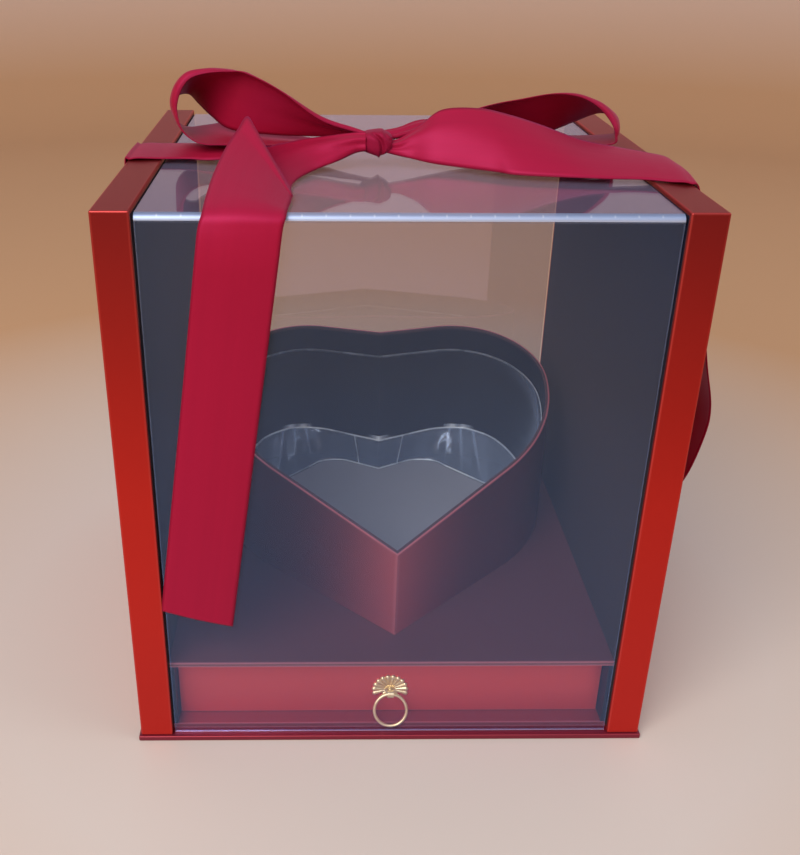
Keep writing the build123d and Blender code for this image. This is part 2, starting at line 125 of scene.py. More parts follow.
def finished_piece(name, mesh_builder, material, body, smooth=True):
    """Turns a bmesh into an object that rides on a body of the box."""
    mesh = bpy.data.meshes.new(name)
    mesh_builder.to_mesh(mesh)
    mesh_builder.free()
    for polygon in mesh.polygons:
        polygon.use_smooth = smooth
    piece = bpy.data.objects.new(name, mesh)
    bpy.context.scene.collection.objects.link(piece)
    mesh.materials.append(material)
    if body:
        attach(piece, body)
    return piece


def thicken(piece, thickness, offset):
    """Gives a thin skin its thickness; offset 0 keeps the skin in the middle of it."""
    modifier = piece.modifiers.new("thickness", "SOLIDIFY")
    modifier.thickness = thickness
    modifier.offset = offset


def dress(material, *nodes):
    """Gives CAD nodes a material in place of the plain one."""
    for node in nodes:
        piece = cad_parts[node]
        piece.data.materials.clear()
        piece.data.materials.append(material)


def between(low, high, share):
    return low + (high - low) * share


# %% [markdown]
# ## Shader groups
# A shader group is a small machine that several materials place with their own values. Here they are:
# the grain of wrapped paper, a mask for the edges of a board or sheet, the threads of satin, the painted
# highlight on the scored bend of a sheet and the painted highlights on the bends of formed plastic. The
# helpers come first: each adds a node or two to a tree and gives the last one's output, so a formula is
# read from the inside out.

# %% Helpers for shader groups
number_kind = "NodeSocketFloat"
colour_kind = "NodeSocketColor"
vector_kind = "NodeSocketVector"
noise_span = (0.3, 0.7)


def new_group(name, inputs, outputs):
    """A new group, the outputs of its input node, and its output node."""
    group = bpy.data.node_groups.new(name, "ShaderNodeTree")
    for label, kind, value in inputs:
        socket = group.interface.new_socket(label, in_out="INPUT", socket_type=kind)
        socket.default_value = value
    for label, kind in outputs:
        group.interface.new_socket(label, in_out="OUTPUT", socket_type=kind)
    return group, group.nodes.new("NodeGroupInput").outputs, group.nodes.new("NodeGroupOutput")


def set_socket(tree, socket, value):
    """Links a socket to another node's output, or sets it to a constant."""
    if isinstance(value, bpy.types.NodeSocket):
        tree.links.new(value, socket)
    else:
        socket.default_value = value


def feed(tree, node, values):
    """Sets a node's inputs, named by their labels."""
    for label, value in values.items():
        set_socket(tree, node.inputs[label], value)


def math_node(tree, operation, first, second=0.0, clamp=False):
    node = tree.nodes.new("ShaderNodeMath")
    node.operation = operation
    node.use_clamp = clamp
    set_socket(tree, node.inputs[0], first)
    set_socket(tree, node.inputs[1], second)
    return node.outputs[0]


def times(tree, first, second):
    return math_node(tree, "MULTIPLY", first, second)


def plus(tree, first, second):
    return math_node(tree, "ADD", first, second)


def minus(tree, first, second):
    return math_node(tree, "SUBTRACT", first, second)


def larger(tree, first, second):
    return math_node(tree, "MAXIMUM", first, second)


def smaller(tree, first, second):
    return math_node(tree, "MINIMUM", first, second)


def apart(tree, first, second):
    """How far two values are from each other."""
    return math_node(tree, "ABSOLUTE", minus(tree, first, second))


def blend_colour(tree, factor, first, second):
    """A Mix node for colours; each one is an RGB triple or an output."""
    node = tree.nodes.new("ShaderNodeMix")
    node.data_type = "RGBA"
    tree.links.new(factor, node.inputs[0])
    for socket, value in ((node.inputs[6], first), (node.inputs[7], second)):
        set_socket(tree, socket, (*value, 1.0) if isinstance(value, tuple) else value)
    return node.outputs[2]


def remap(tree, value, low, high, out_low=0.0, out_high=1.0):
    """A clamped Map Range node."""
    node = tree.nodes.new("ShaderNodeMapRange")
    feed(tree, node, {"Value": value, "From Min": low, "From Max": high,
                      "To Min": out_low, "To Max": out_high})
    return node.outputs["Result"]


def scaled_colour(tree, colour, gain):
    node = tree.nodes.new("ShaderNodeVectorMath")
    node.operation = "SCALE"
    tree.links.new(colour, node.inputs[0])
    tree.links.new(gain, node.inputs["Scale"])
    return node.outputs[0]


def object_place(tree):
    """Where a point is on its piece, in metres."""
    return tree.nodes.new("ShaderNodeTexCoord").outputs["Object"]


def split_vector(tree, vector):
    node = tree.nodes.new("ShaderNodeSeparateXYZ")
    tree.links.new(vector, node.inputs[0])
    return node.outputs


def stretched(tree, vector, scale):
    node = tree.nodes.new("ShaderNodeMapping")
    feed(tree, node, {"Vector": vector, "Scale": scale})
    return node.outputs[0]


def noise(tree, vector, scale, detail=2.0):
    node = tree.nodes.new("ShaderNodeTexNoise")
    feed(tree, node, {"Vector": vector, "Scale": scale, "Detail": detail})
    return node.outputs["Fac"]


# %% Paper grain group


def make_paper_grain():
    """Wrapped paper: slow changes of tone, fine fibres, and a roughness that follows both."""
    group, source, sink = new_group(
        "paper_grain",
        [("Colour", colour_kind, (0.5, 0.5, 0.5, 1.0)), ("Depth", number_kind, 0.15),
         ("Roughness", number_kind, 0.4)],
        [("Colour", colour_kind), ("Roughness", number_kind), ("Height", number_kind)])
    cloud_scale = 9.0
    cloud_detail = 3.0
    fibre_scale = 5200.0
    cloud_share = 0.75
    fibre_share = 0.25
    middle_tone = 0.5
    tone_gain = 2.0
    rough_gain = 0.6
    place = object_place(group)
    cloud = noise(group, place, cloud_scale, cloud_detail)
    fibre = noise(group, place, fibre_scale)
    tone = plus(group, times(group, cloud, cloud_share), times(group, fibre, fibre_share))
    shade = times(group, minus(group, tone, middle_tone), source["Depth"])
    gain = plus(group, times(group, shade, tone_gain), 1.0)
    feed(group, sink, {
        "Colour": scaled_colour(group, source["Colour"], gain),
        "Roughness": plus(group, source["Roughness"], times(group, shade, rough_gain)),
        "Height": fibre})
    return group


paper_grain = make_paper_grain()

# %% Board edge group


def make_board_edge():
    """1 along the edges of a box between two corners and 0 on its faces. On a face one distance is
    zero, and on an edge two are, so the middle one of the three distances finds the edges."""
    group, source, sink = new_group(
        "board_edge",
        [("Low", vector_kind, (0, 0, 0)), ("High", vector_kind, (1, 1, 1)), ("Width", number_kind, 0.001)],
        [("Edge", number_kind)])
    here = split_vector(group, object_place(group))
    low = split_vector(group, source["Low"])
    high = split_vector(group, source["High"])
    near = [smaller(group, apart(group, here[axis], low[axis]), apart(group, here[axis], high[axis]))
            for axis in range(3)]
    least = smaller(group, near[0], near[1])
    most = larger(group, near[0], near[1])
    middle = larger(group, least, smaller(group, most, near[2]))
    share = math_node(group, "DIVIDE", middle, source["Width"], clamp=True)
    feed(group, sink, {"Edge": minus(group, 1.0, share)})
    return group


board_edge = make_board_edge()

# %% Satin thread group


def make_satin_threads():
    """Satin: fine threads along the ribbon, read from the ribbon's own UV map, with a firm selvage
    down both edges."""
    group, source, sink = new_group(
        "satin_threads",
        [("Colour", colour_kind, (0.5, 0.0, 0.0, 1.0)), ("Roughness", number_kind, 0.4)],
        [("Colour", colour_kind), ("Roughness", number_kind), ("Height", number_kind)])
    thread_stretch = (180.0, 26.0, 1.0)
    slub_stretch = (9.0, 1.4, 1.0)
    selvage_start_share = 0.468
    selvage_full_share = 0.480
    tone_span = (0.94, 1.05)
    rough_span = (-0.05, 0.05)
    selvage_tone = 0.78
    selvage_rough = 0.12
    selvage_height = 0.8
    uv = group.nodes.new("ShaderNodeTexCoord").outputs["UV"]
    thread = noise(group, stretched(group, uv, thread_stretch), 1.0)
    slub = noise(group, stretched(group, uv, slub_stretch), 1.0)
    from_middle = apart(group, split_vector(group, uv)[0], 0.5)
    selvage = remap(group, from_middle, selvage_start_share, selvage_full_share)
    tone = times(group, plus(group, thread, slub), 0.5)
    gain = times(group, remap(group, tone, *noise_span, *tone_span),
                 remap(group, selvage, 0.0, 1.0, 1.0, selvage_tone))
    rough = plus(group, source["Roughness"], remap(group, thread, *noise_span, *rough_span))
    feed(group, sink, {
        "Colour": scaled_colour(group, source["Colour"], gain),
        "Roughness": plus(group, rough, times(group, selvage, selvage_rough)),
        "Height": plus(group, thread, times(group, selvage, selvage_height))})
    return group


satin_threads = make_satin_threads()

# %% Scored crease group


def make_scored_crease():
    """Solid, rough and painted pale blue as a highlight in a box round the bend of a sheet, paler towards
    its lower edge, with a row of small paler dots: the score marks, painted as glints.
    """
    group, source, sink = new_group(
        "scored_crease",
        [("Tint", colour_kind, (0.5, 0.5, 0.5, 1.0)), ("Low", vector_kind, (0, 0, 0)),
         ("High", vector_kind, (1, 1, 1)), ("Pitch", number_kind, 0.013)],
        [("Solid", number_kind), ("Roughness", number_kind), ("Colour", colour_kind)])
    crease_highlight_tint = (0.36, 0.44, 0.66)
    ridge_highlight_tint = (0.52, 0.64, 0.86)
    dot_glint_tint = (0.85, 0.92, 1.0)
    dot_line_share = 0.30
    dot_line_reach = (0.10, 0.20)
    dot_reach = (0.02, 0.05)
    dot_strength = 0.35
    ridge_span = (0.2, 1.0)
    solid_span = (0.55, 0.85)
    scored_rough = 0.45
    place = split_vector(group, object_place(group))
    low = split_vector(group, source["Low"])
    high = split_vector(group, source["High"])
    in_front = math_node(group, "LESS_THAN", place[1], high[1])
    inside = times(group, in_front, math_node(group, "GREATER_THAN", place[2], low[2]))
    drop = minus(group, high[2], place[2])
    depth = math_node(group, "DIVIDE", drop, minus(group, high[2], low[2]))
    turn = math_node(group, "FRACT", math_node(group, "DIVIDE", place[0], source["Pitch"]))
    on_line = remap(group, apart(group, depth, dot_line_share), *dot_line_reach, 1.0, 0.0)
    dot = times(group, remap(group, apart(group, turn, 0.5), *dot_reach, dot_strength, 0.0), on_line)
    bright = times(group, dot, inside)
    ridge = times(group, inside, remap(group, depth, *ridge_span))
    solid = times(group, inside, remap(group, depth, 0.0, 1.0, *solid_span))
    # The bend is painted pale blue as a highlight, paler towards its lower edge, and its dots are painted
    # glints.
    scored = blend_colour(group, inside, source["Tint"], crease_highlight_tint)
    ridged = blend_colour(group, ridge, scored, ridge_highlight_tint)
    feed(group, sink, {
        "Solid": larger(group, solid, bright),
        "Roughness": times(group, inside, scored_rough),
        "Colour": blend_colour(group, bright, ridged, dot_glint_tint)})
    return group


scored_crease = make_scored_crease()

# %% Formed lines group
insert_last_row = 14
lower_rows = (1, 7)
bend_rows = ((0, 1), (7, 9), (12.95, 14))
glint_rows = (9, 10)
glint_turns = (0.0, 0.355, 0.420)
crease_turn = 0.091
flute_highlight_turns = (0.345, 0.405, 0.465)


def make_formed_lines():
    """The formed insert's tight bends, painted as pale highlight lines for the light they catch from all
    round, painted glints on its ledge, painted highlights down its flutes, and its milky lower wall. All
    are read from its own UV map: V counts its rows up the wall and U runs round from the tip."""
    group, _, sink = new_group("formed_lines", [], [("Line", number_kind), ("Milk and flute highlights", number_kind)])
    streak_scale = 60.0
    streak_detail = 3.0
    streak_span = (0.40, 0.60)
    broken_span = (0.60, 1.0)
    wall_milk = 0.6
    flute_highlight_span = (0.7, 1.5)
    crease_reach = (0.001, 0.004)
    glint_reach = (0.005, 0.050)
    flute_highlight_reach = (0.002, 0.018)
    coordinates = group.nodes.new("ShaderNodeTexCoord").outputs
    place = split_vector(group, coordinates["UV"])
    row = times(group, place[1], insert_last_row)
    along = times(group, apart(group, place[0], 0.5), 2.0)

    def span(value, low, high):
        above = math_node(group, "GREATER_THAN", value, low)
        return times(group, above, math_node(group, "LESS_THAN", value, high))

    def near(turn, reach):
        return remap(group, apart(group, along, turn), *reach, 1.0, 0.0)

    # Painted highlights: the bends, the glints on the ledge and the flutes are made pale, standing in for the
    # light they catch.
    lower = span(row, *lower_rows)
    line = times(group, near(crease_turn, crease_reach), lower)
    for low, high in bend_rows:
        line = larger(group, line, span(row, low, high))
    for turn in glint_turns:
        line = larger(group, line, times(group, span(row, *glint_rows), near(turn, glint_reach)))
    streak = noise(group, coordinates["Object"], streak_scale, streak_detail)
    broken = remap(group, streak, *streak_span, *broken_span)
    milk_and_flute_highlights = times(group, lower, wall_milk)
    fade = times(group, lower, remap(group, row, *lower_rows, *flute_highlight_span))
    for turn in flute_highlight_turns:
        milk_and_flute_highlights = larger(group, milk_and_flute_highlights, times(group, near(turn, flute_highlight_reach), fade))
    feed(group, sink, {"Line": times(group, line, broken), "Milk and flute highlights": milk_and_flute_highlights})
    return group


formed_lines = make_formed_lines()
print("shader groups:", [group.name for group in bpy.data.node_groups])

# %% [markdown]
# ## Materials
# Each finish is a function that builds one Principled material. What changes over the surface comes
# from the groups; what is the same all over is set on the shader's own sockets. Pictures could give the
# same marks, but patterns worked out from the place on a piece need no files and suit any size.

# %% Helpers for materials


def new_material(name):
    material = bpy.data.materials.new(name)
    material.use_nodes = True
    tree = material.node_tree
    return material, tree, tree.nodes["Principled BSDF"]


def place_group(tree, group, **values):
    """Places a group with its own values and gives its outputs."""
    node = tree.nodes.new("ShaderNodeGroup")
    node.node_tree = group
    feed(tree, node, values)
    return node.outputs


def add_bump(tree, shader, height, strength, distance):
    bump = tree.nodes.new("ShaderNodeBump")
    feed(tree, bump, {"Strength": strength, "Distance": distance, "Height": height})
    feed(tree, shader, {"Normal": bump.outputs["Normal"]})


# %% [markdown]
# ### Wrapped paper
# The panels, base and drawer are board wrapped in satin paper with a metallic sheen. The wrap is
# painted a little paler along the edges, partly as wear where hands and shelves touch it and partly as a
# painted highlight where the edges catch the light, and the tall panels are painted a deeper red towards
# the top as painted shade. The edges could be painted by hand on each mesh; the edge mask finds them
# from a node's box instead, so one function dresses every board.

# %% Wrapped paper
paper_depth = 0.12
fibre_depth = 0.02 * millimetre
worn_highlight_strength = 0.55
board_worn_highlight_width = 1.2 * millimetre
base_worn_highlight_width = 0.4 * millimetre
bottom_edge_highlight_width = 0.9 * millimetre
slant_tint = (1.0, 0.6, 0.6, 1.0)


def wrapped_paper(node, colour, worn_highlight, metallic, roughness, shine=0.5, worn_highlight_width=board_worn_highlight_width,
                  top=None, front_only=False):
    """Dresses one node; shine is the shader's specular level, for paper that isn't metallic, and top, if
    given, is a painted shade: the colour that the node darkens to at its top. The edges blend to a paler
    colour, partly wear and partly a painted highlight. front_only leaves out the edges of the sides and back."""
    low, high = node_box(node)
    edge_low, edge_high = low, high
    if front_only:
        past = 10 * worn_highlight_width
        edge_low = low - Vector((past, 0, 0))
        edge_high = high + Vector((past, past, 0))
    material, tree, shader = new_material("paper_" + node)
    tone = (*colour, 1.0)
    # A given top colour is a painted shade: the wrap darkens from the middle height to the top.
    if top:
        height = split_vector(tree, object_place(tree))[2]
        tone = blend_colour(tree, remap(tree, height, between(low.z, high.z, 0.5), high.z), colour, top)
    grain = place_group(tree, paper_grain, Colour=tone, Depth=paper_depth, Roughness=roughness)
    # The edges are painted paler, partly as wear and partly as a painted highlight where they catch light.
    edge = place_group(tree, board_edge, Low=edge_low, High=edge_high, Width=worn_highlight_width)["Edge"]
    feed(tree, shader, {
        "Base Color": blend_colour(tree, times(tree, edge, worn_highlight_strength), grain["Colour"], worn_highlight),
        "Roughness": grain["Roughness"],
        "Metallic": metallic,
        "Specular IOR Level": shine})
    if metallic:
        feed(tree, shader, {"Specular Tint": slant_tint})
        add_bump(tree, shader, grain["Height"], strength=0.03, distance=fibre_depth)
    dress(material, node)


red_paper_colour = (0.50, 0.022, 0.016)
red_shaded_top_colour = (0.21, 0.014, 0.015)
red_worn_highlight_colour = (0.66, 0.09, 0.08)
base_paper_colour = (0.20, 0.020, 0.040)
rose_paper_colour = (0.62, 0.066, 0.060)
rose_worn_highlight_colour = (0.66, 0.13, 0.13)
bottom_board_shade_colour = (0.26, 0.038, 0.046)
pink_edge_highlight_colour = (0.72, 0.24, 0.29)
# The panels are painted darker towards the top as painted shade.
for node in ("left_panel_shell", "right_panel_shell"):
    wrapped_paper(node, red_paper_colour, red_worn_highlight_colour, metallic=0.7, roughness=0.34, top=red_shaded_top_colour)
wrapped_paper("base_board", base_paper_colour, red_worn_highlight_colour, metallic=0.5, roughness=0.38,
              worn_highlight_width=base_worn_highlight_width)
for node in ("drawer_front", "drawer_left_side", "drawer_right_side", "drawer_back", "drawer_bottom"):
    wrapped_paper(node, rose_paper_colour, rose_worn_highlight_colour, metallic=0.5, roughness=0.38)
# The cabinet's bottom board sits in shadow under the drawer, so it is painted dark plum as shade, with a
# painted pink highlight along its edges.
wrapped_paper("cabinet_bottom_board", bottom_board_shade_colour, pink_edge_highlight_colour, metallic=0.5, roughness=0.38,
              worn_highlight_width=bottom_edge_highlight_width)
print("materials with the papers:", len(bpy.data.materials))

# %% [markdown]
# ### Dark lining paper
# The inside is lined with a matt, nearly black paper. The same function dresses it, without metal and
# with little shine. The panels' liners are painted paler at the foot and darker at the top, as painted
# light and shade. The display floor is plum, and only its front edge has a painted pink highlight line.

# %% Dark lining paper
dark_paper_colour = (0.009, 0.014, 0.028)
dark_worn_highlight_colour = (0.04, 0.04, 0.06)
liner_lit_foot_colour = (0.054, 0.043, 0.048)
liner_shaded_top_colour = (0.002, 0.007, 0.024)
floor_paper_colour = (0.102, 0.034, 0.042)
# The liners are painted paler at the foot and darker at the top, as painted light and shade.
for node in ("left_panel_liner", "right_panel_liner"):
    wrapped_paper(node, liner_lit_foot_colour, dark_worn_highlight_colour, metallic=0.0, roughness=0.60, shine=0.03,
                  top=liner_shaded_top_colour)
for node in ("cabinet_left_wall", "cabinet_right_wall", "cabinet_back_wall", "drawer_lining", "heart_lining"):
    wrapped_paper(node, dark_paper_colour, dark_worn_highlight_colour, metallic=0.0, roughness=0.48, shine=0.2)
# The display floor's front edge is a painted pink highlight line.
wrapped_paper("display_floor", floor_paper_colour, pink_edge_highlight_colour, metallic=0.0, roughness=0.45, shine=0.3,
              front_only=True)
print("materials with the linings:", len(bpy.data.materials))

# %% [markdown]
# ### Clear plastic
# A clear sheet shows what is behind it and mirrors a little, more at a slant. Real refraction would
# only add noise on a flat sheet this thin, so the sheet is a smoky blue mirror with a low Alpha. The
# share that plastic mirrors grows with the fifth power of the slant, and a Layer Weight node gives
# that slant alike from both sides of the sheet. Cut edges scatter light, so the edge mask makes them a
# little more solid. The front sheet's cut foot is a painted highlight, a pale and nearly solid line. The
# bend at the front, scored in a row of fine dots, is more solid still and painted pale blue as a
# highlight, with the dots painted as small glints.

# %% Clear plastic
dot_pitch = 10.2 * millimetre
foot_highlight_tint = (0.80, 0.72, 0.95)
bend_highlight_tint = (0.88, 0.94, 1.0)
milky_tint = (0.50, 0.62, 0.85)


def mirror_alpha(tree, head_on_share):
    """The share that a clear face mirrors: head_on_share when seen square on, and all at a slant."""
    plain_blend = 0.5
    slant_power = 5.0
    slant = tree.nodes.new("ShaderNodeLayerWeight")
    feed(tree, slant, {"Blend": plain_blend})
    steep = math_node(tree, "POWER", slant.outputs["Facing"], slant_power)
    return remap(tree, steep, 0.0, 1.0, head_on_share, 1.0)


def clear_sheet(node, tint, head_on_share, edge_alpha, crease=None):
    """Dresses a bent sheet; crease holds the lowest and highest corner of a scored bend. A sheet without
    one ends in a cut foot, painted as a pale highlight line."""
    edge_width = 0.9 * millimetre
    foot_height = 1.5 * edge_width
    foot_highlight_strength = 0.9
    plain_roughness = 0.02
    edge_rough = 0.3
    low, high = node_box(node)
    material, tree, shader = new_material("plastic_" + node)
    edge = place_group(tree, board_edge, Low=low, High=high, Width=edge_width)["Edge"]
    solid = times(tree, edge, edge_alpha)
    rough = plus(tree, times(tree, solid, edge_rough), plain_roughness)
    if crease:
        bend = place_group(tree, scored_crease, Tint=(*tint, 1.0), Low=crease[0], High=crease[1],
                           Pitch=dot_pitch)
        solid = larger(tree, solid, bend["Solid"])
        rough = plus(tree, rough, bend["Roughness"])
        colour = bend["Colour"]
    else:
        # The cut foot is a painted highlight: pale and nearly solid in a band along the bottom.
        height = split_vector(tree, object_place(tree))[2]
        foot = remap(tree, height, low.z, low.z + foot_height, foot_highlight_strength, 0.0)
        solid = larger(tree, solid, foot)
        colour = blend_colour(tree, foot, tint, foot_highlight_tint)
    alpha = math_node(tree, "MAXIMUM", mirror_alpha(tree, head_on_share), solid, clamp=True)
    feed(tree, shader, {"Base Color": colour, "Alpha": alpha, "Roughness": rough, "Metallic": 0.7})
    dress(material, node)


def formed_plastic(name):
    """Clear plastic whose tight bends and flutes carry painted highlights and whose lower wall is a little
    milky.
    """
    head_on_share = 0.03
    milk_and_highlight_strength = 0.32
    line_strength = 0.95
    rough_span = (0.10, 0.35)
    material, tree, shader = new_material(name)
    formed = place_group(tree, formed_lines)
    line = formed["Line"]
    # The lines and the flute bands from the group are painted highlights.
    clear = plus(tree, mirror_alpha(tree, head_on_share), times(tree, formed["Milk and flute highlights"], milk_and_highlight_strength))
    alpha = math_node(tree, "MAXIMUM", clear, times(tree, line, line_strength), clamp=True)
    feed(tree, shader, {
        "Base Color": blend_colour(tree, line, milky_tint, bend_highlight_tint),
        "Alpha": alpha,
        "Roughness": remap(tree, line, 0.0, 1.0, *rough_span),
        "Metallic": 0.2})
    return material


crease_depth = 3.0 * millimetre
crease_low = Vector((cover_low.x, cover_low.y, cover_high.z - crease_depth))
crease_high = Vector((cover_high.x, cover_low.y + crease_depth, cover_high.z))
front_tint = (0.22, 0.36, 0.72)
cover_tint = (0.44, 0.39, 0.60)
clear_sheet("front_sheet", front_tint, head_on_share=0.085, edge_alpha=0.30)
clear_sheet("clear_cover", cover_tint, head_on_share=0.22, edge_alpha=0.04, crease=(crease_low, crease_high))
print("scored bend from", round(crease_low.z, 4), "to", round(crease_high.z, 4))

# %% [markdown]
# ### Pale gold
# The pull is stamped and plated metal. Small scratches and finger marks change its roughness. A plain
# metal would look newly cast, so two noises of different scale mark it: a broad one for the marks of
# fingers and a fine one, as a bump, for the scratches.

# %% Pale gold


def pale_gold(name):
    mark_scale = 420.0
    mark_detail = 3.0
    scratch_scale = 3000.0
    scratch_detail = 1.0
    scratch_depth = 0.05 * millimetre
    rough_span = (0.34, 0.46)
    worn_gold = (0.86, 0.70, 0.42)
    bright_gold = (0.94, 0.82, 0.56)
    material, tree, shader = new_material(name)
    place = object_place(tree)
    marks = noise(tree, place, mark_scale, mark_detail)
    scratches = noise(tree, place, scratch_scale, scratch_detail)
    feed(tree, shader, {
        "Base Color": blend_colour(tree, remap(tree, marks, *noise_span), worn_gold, bright_gold),
        "Roughness": remap(tree, marks, *noise_span, *rough_span),
        "Metallic": 1.0})
    add_bump(tree, shader, scratches, strength=0.08, distance=scratch_depth)
    return material


gold = pale_gold("pale_gold")
dress(gold, "pull_plate", "pull_eye", "pull_washer", "pull_ring")
print("nodes in the gold's tree:", len(gold.node_tree.nodes))

# %% [markdown]
# ### Satin
# Satin floats its threads on the face of the cloth, so it has a soft gloss of its own colour and a
# faint sheen at a slant. A tinted specular and a little sheen give both, over the thread group.

# %% Satin


def satin(name, colour):
    thread_depth = 0.06 * millimetre
    material, tree, shader = new_material(name)
    threads = place_group(tree, satin_threads, Colour=(*colour, 1.0), Roughness=0.50)
    feed(tree, shader, {
        "Base Color": threads["Colour"],
        "Roughness": threads["Roughness"],
        "Metallic": 0.15,
        "Specular IOR Level": 0.45,
        "Specular Tint": (1.0, 0.28, 0.80, 1.0),
        "Sheen Weight": 0.12,
        "Sheen Roughness": 0.30,
        "Sheen Tint": (1.0, 0.20, 0.60, 1.0)})
    add_bump(tree, shader, threads["Height"], strength=0.15, distance=thread_depth)
    return material


ribbon_colour = (0.31, 0.005, 0.028)
ribbon_satin = satin("ribbon_satin", ribbon_colour)
print("satin colour:", ribbon_colour)

# %% [markdown]
# ## The ribbon
# A ribbon is a flat band, 38 mm wide, that bends easily along its length and hardly across it. The
# route is a list of cross lines: the place of the band's front edge and of its back edge. A curve
# through the lines gives all the lines between, and a flat grid is then laid along them, so the
# ribbon keeps a UV map that runs along its length for the satin's threads. A cloth simulation could
# drape it too, but a tied bow holds its form, and the lines give that form directly.

# %% Ribbon routes
ribbon_width = 38 * millimetre
ribbon_thickness = 0.5 * millimetre
bow_rise = 42 * millimetre
slack_reach = 31 * millimetre
left_loop_shares = [
    ((-0.100, -0.230, 0.30), (-0.100, -0.190, 0.34)),
    ((-0.165, -0.230, 0.36), (-0.170, -0.155, 0.27)),
    ((-0.287, -0.235, 0.50), (-0.298, -0.110, 0.24)),
    ((-0.430, -0.230, 0.82), (-0.460, -0.105, 0.25)),
    ((-0.551, -0.210, 1.00), (-0.622, -0.070, 0.29)),
    ((-0.610, -0.190, 1.01), (-0.698, -0.005, 0.41)),
    ((-0.688, -0.180, 0.99), (-0.752, 0.060, 0.53)),
    ((-0.752, -0.180, 0.93), (-0.792, 0.095, 0.63)),
    ((-0.786, -0.180, 0.81), (-0.836, 0.105, 0.61)),
    ((-0.804, -0.180, 0.67), (-0.864, 0.108, 0.52)),
    ((-0.808, -0.185, 0.55), (-0.862, 0.106, 0.40)),
    ((-0.795, -0.200, 0.38), (-0.836, 0.100, 0.27)),
    ((-0.760, -0.215, 0.26), (-0.795, 0.092, 0.23)),
    ((-0.713, -0.222, 0.20), (-0.727, 0.083, 0.26)),
    ((-0.630, -0.218, 0.19), (-0.597, 0.075, 0.30)),
    ((-0.390, -0.200, 0.18), (-0.380, -0.030, 0.20)),
    ((-0.180, -0.215, 0.21), (-0.180, -0.170, 0.20)),
    ((-0.100, -0.220, 0.23), (-0.100, -0.200, 0.22)),
]
right_loop_shares = [
    ((-0.050, -0.200, 0.25), (-0.050, -0.160, 0.34)),
    ((0.010, -0.185, 0.26), (0.010, -0.115, 0.35)),
    ((0.125, -0.140, 0.34), (0.130, -0.030, 0.40)),
    ((0.325, -0.100, 0.58), (0.350, 0.105, 0.18)),
    ((0.474, -0.095, 0.68), (0.585, 0.115, 0.16)),
    ((0.590, -0.095, 0.74), (0.672, 0.145, 0.22)),
    ((0.685, -0.095, 0.71), (0.735, 0.175, 0.28)),
    ((0.757, -0.095, 0.60), (0.832, 0.192, 0.38)),
    ((0.804, -0.095, 0.46), (0.905, 0.190, 0.34)),
    ((0.828, -0.110, 0.34), (0.916, 0.182, 0.25)),
    ((0.834, -0.115, 0.25), (0.905, 0.180, 0.17)),
    ((0.826, -0.120, 0.17), (0.890, 0.178, 0.12)),
    ((0.712, -0.120, 0.13), (0.770, 0.180, 0.10)),
    ((0.536, -0.115, 0.12), (0.580, 0.150, 0.11)),
    ((0.236, -0.140, 0.17), (0.250, 0.010, 0.16)),
    ((0.020, -0.190, 0.22), (0.020, -0.140, 0.20)),
    ((-0.050, -0.205, 0.24), (-0.050, -0.180, 0.23)),
]
left_strand_shares = [
    ((-0.100, -0.212, 0.145), (-0.100, -0.190, 0.145)),
    ((-0.180, -0.200, 0.115), (-0.180, -0.130, 0.115)),
    ((-0.360, -0.170, 0.080), (-0.362, 0.030, 0.085)),
    ((-0.660, -0.240, 0.030), (-0.680, 0.025, 0.050)),
    ((-0.770, -0.215, 0.024), (-0.785, 0.075, 0.036)),
    ((-0.880, -0.210, 0.021), (-0.885, 0.095, 0.021)),
    ((-0.985, -0.220, 0.021), (-0.985, 0.083, 0.021)),
]
right_strand_shares = [
    ((-0.050, -0.270, 0.148), (-0.050, -0.245, 0.28)),
    ((0.000, -0.272, 0.110), (0.000, -0.232, 0.275)),
    ((0.048, -0.290, 0.085), (0.085, -0.190, 0.41)),
    ((0.148, -0.310, 0.030), (0.165, -0.183, 0.59)),
    ((0.332, -0.420, 0.024), (0.292, -0.205, 0.62)),
    ((0.410, -0.475, 0.022), (0.390, -0.228, 0.57)),
    ((0.573, -0.510, 0.022), (0.515, -0.245, 0.46)),
    ((0.709, -0.530, 0.022), (0.675, -0.232, 0.28)),
    ((0.845, -0.545, 0.023), (0.807, -0.238, 0.20)),
    ((0.921, -0.580, 0.024), (0.909, -0.272, 0.16)),
    ((0.985, -0.608, 0.024), (0.995, -0.300, 0.10)),
]
tail_band_shares = [
    ((-0.117, -0.285, 0.168), (-0.117, -0.262, 0.367)),
    ((-0.157, -0.290, 0.147), (-0.164, -0.258, 0.361)),
    ((-0.219, -0.330, 0.078), (-0.251, -0.255, 0.323)),
    ((-0.302, -0.389, 0.010), (-0.350, -0.255, 0.279)),
    ((-0.361, -0.521, -0.005), (-0.430, -0.270, 0.235)),
    ((-0.382, -0.657, -0.005), (-0.493, -0.320, 0.250)),
]
tail_turn_shares = [
    ((-0.373, -0.798, 0.006), (-0.534, -0.391, 0.599)),
    ((-0.375, -0.823, 0.004), (-0.568, -0.452, 0.501)),
    ((-0.377, -0.875, -0.004), (-0.604, -0.585, 0.361)),
    ((-0.382, -0.927, -0.010), (-0.630, -0.766, 0.211)),
    ((-0.386, -0.976, -0.020), (-0.643, -0.907, 0.083)),
    ((-0.390, -1.008, -0.070), (-0.650, -0.996, -0.023)),
]
tail_hang_shares = [
    (0.000, 0.85), (0.064, 1.00), (0.130, 0.83), (0.270, 0.41),
    (0.420, 0.26), (0.650, 0.22), (0.920, 0.22), (1.000, 0.30),
]
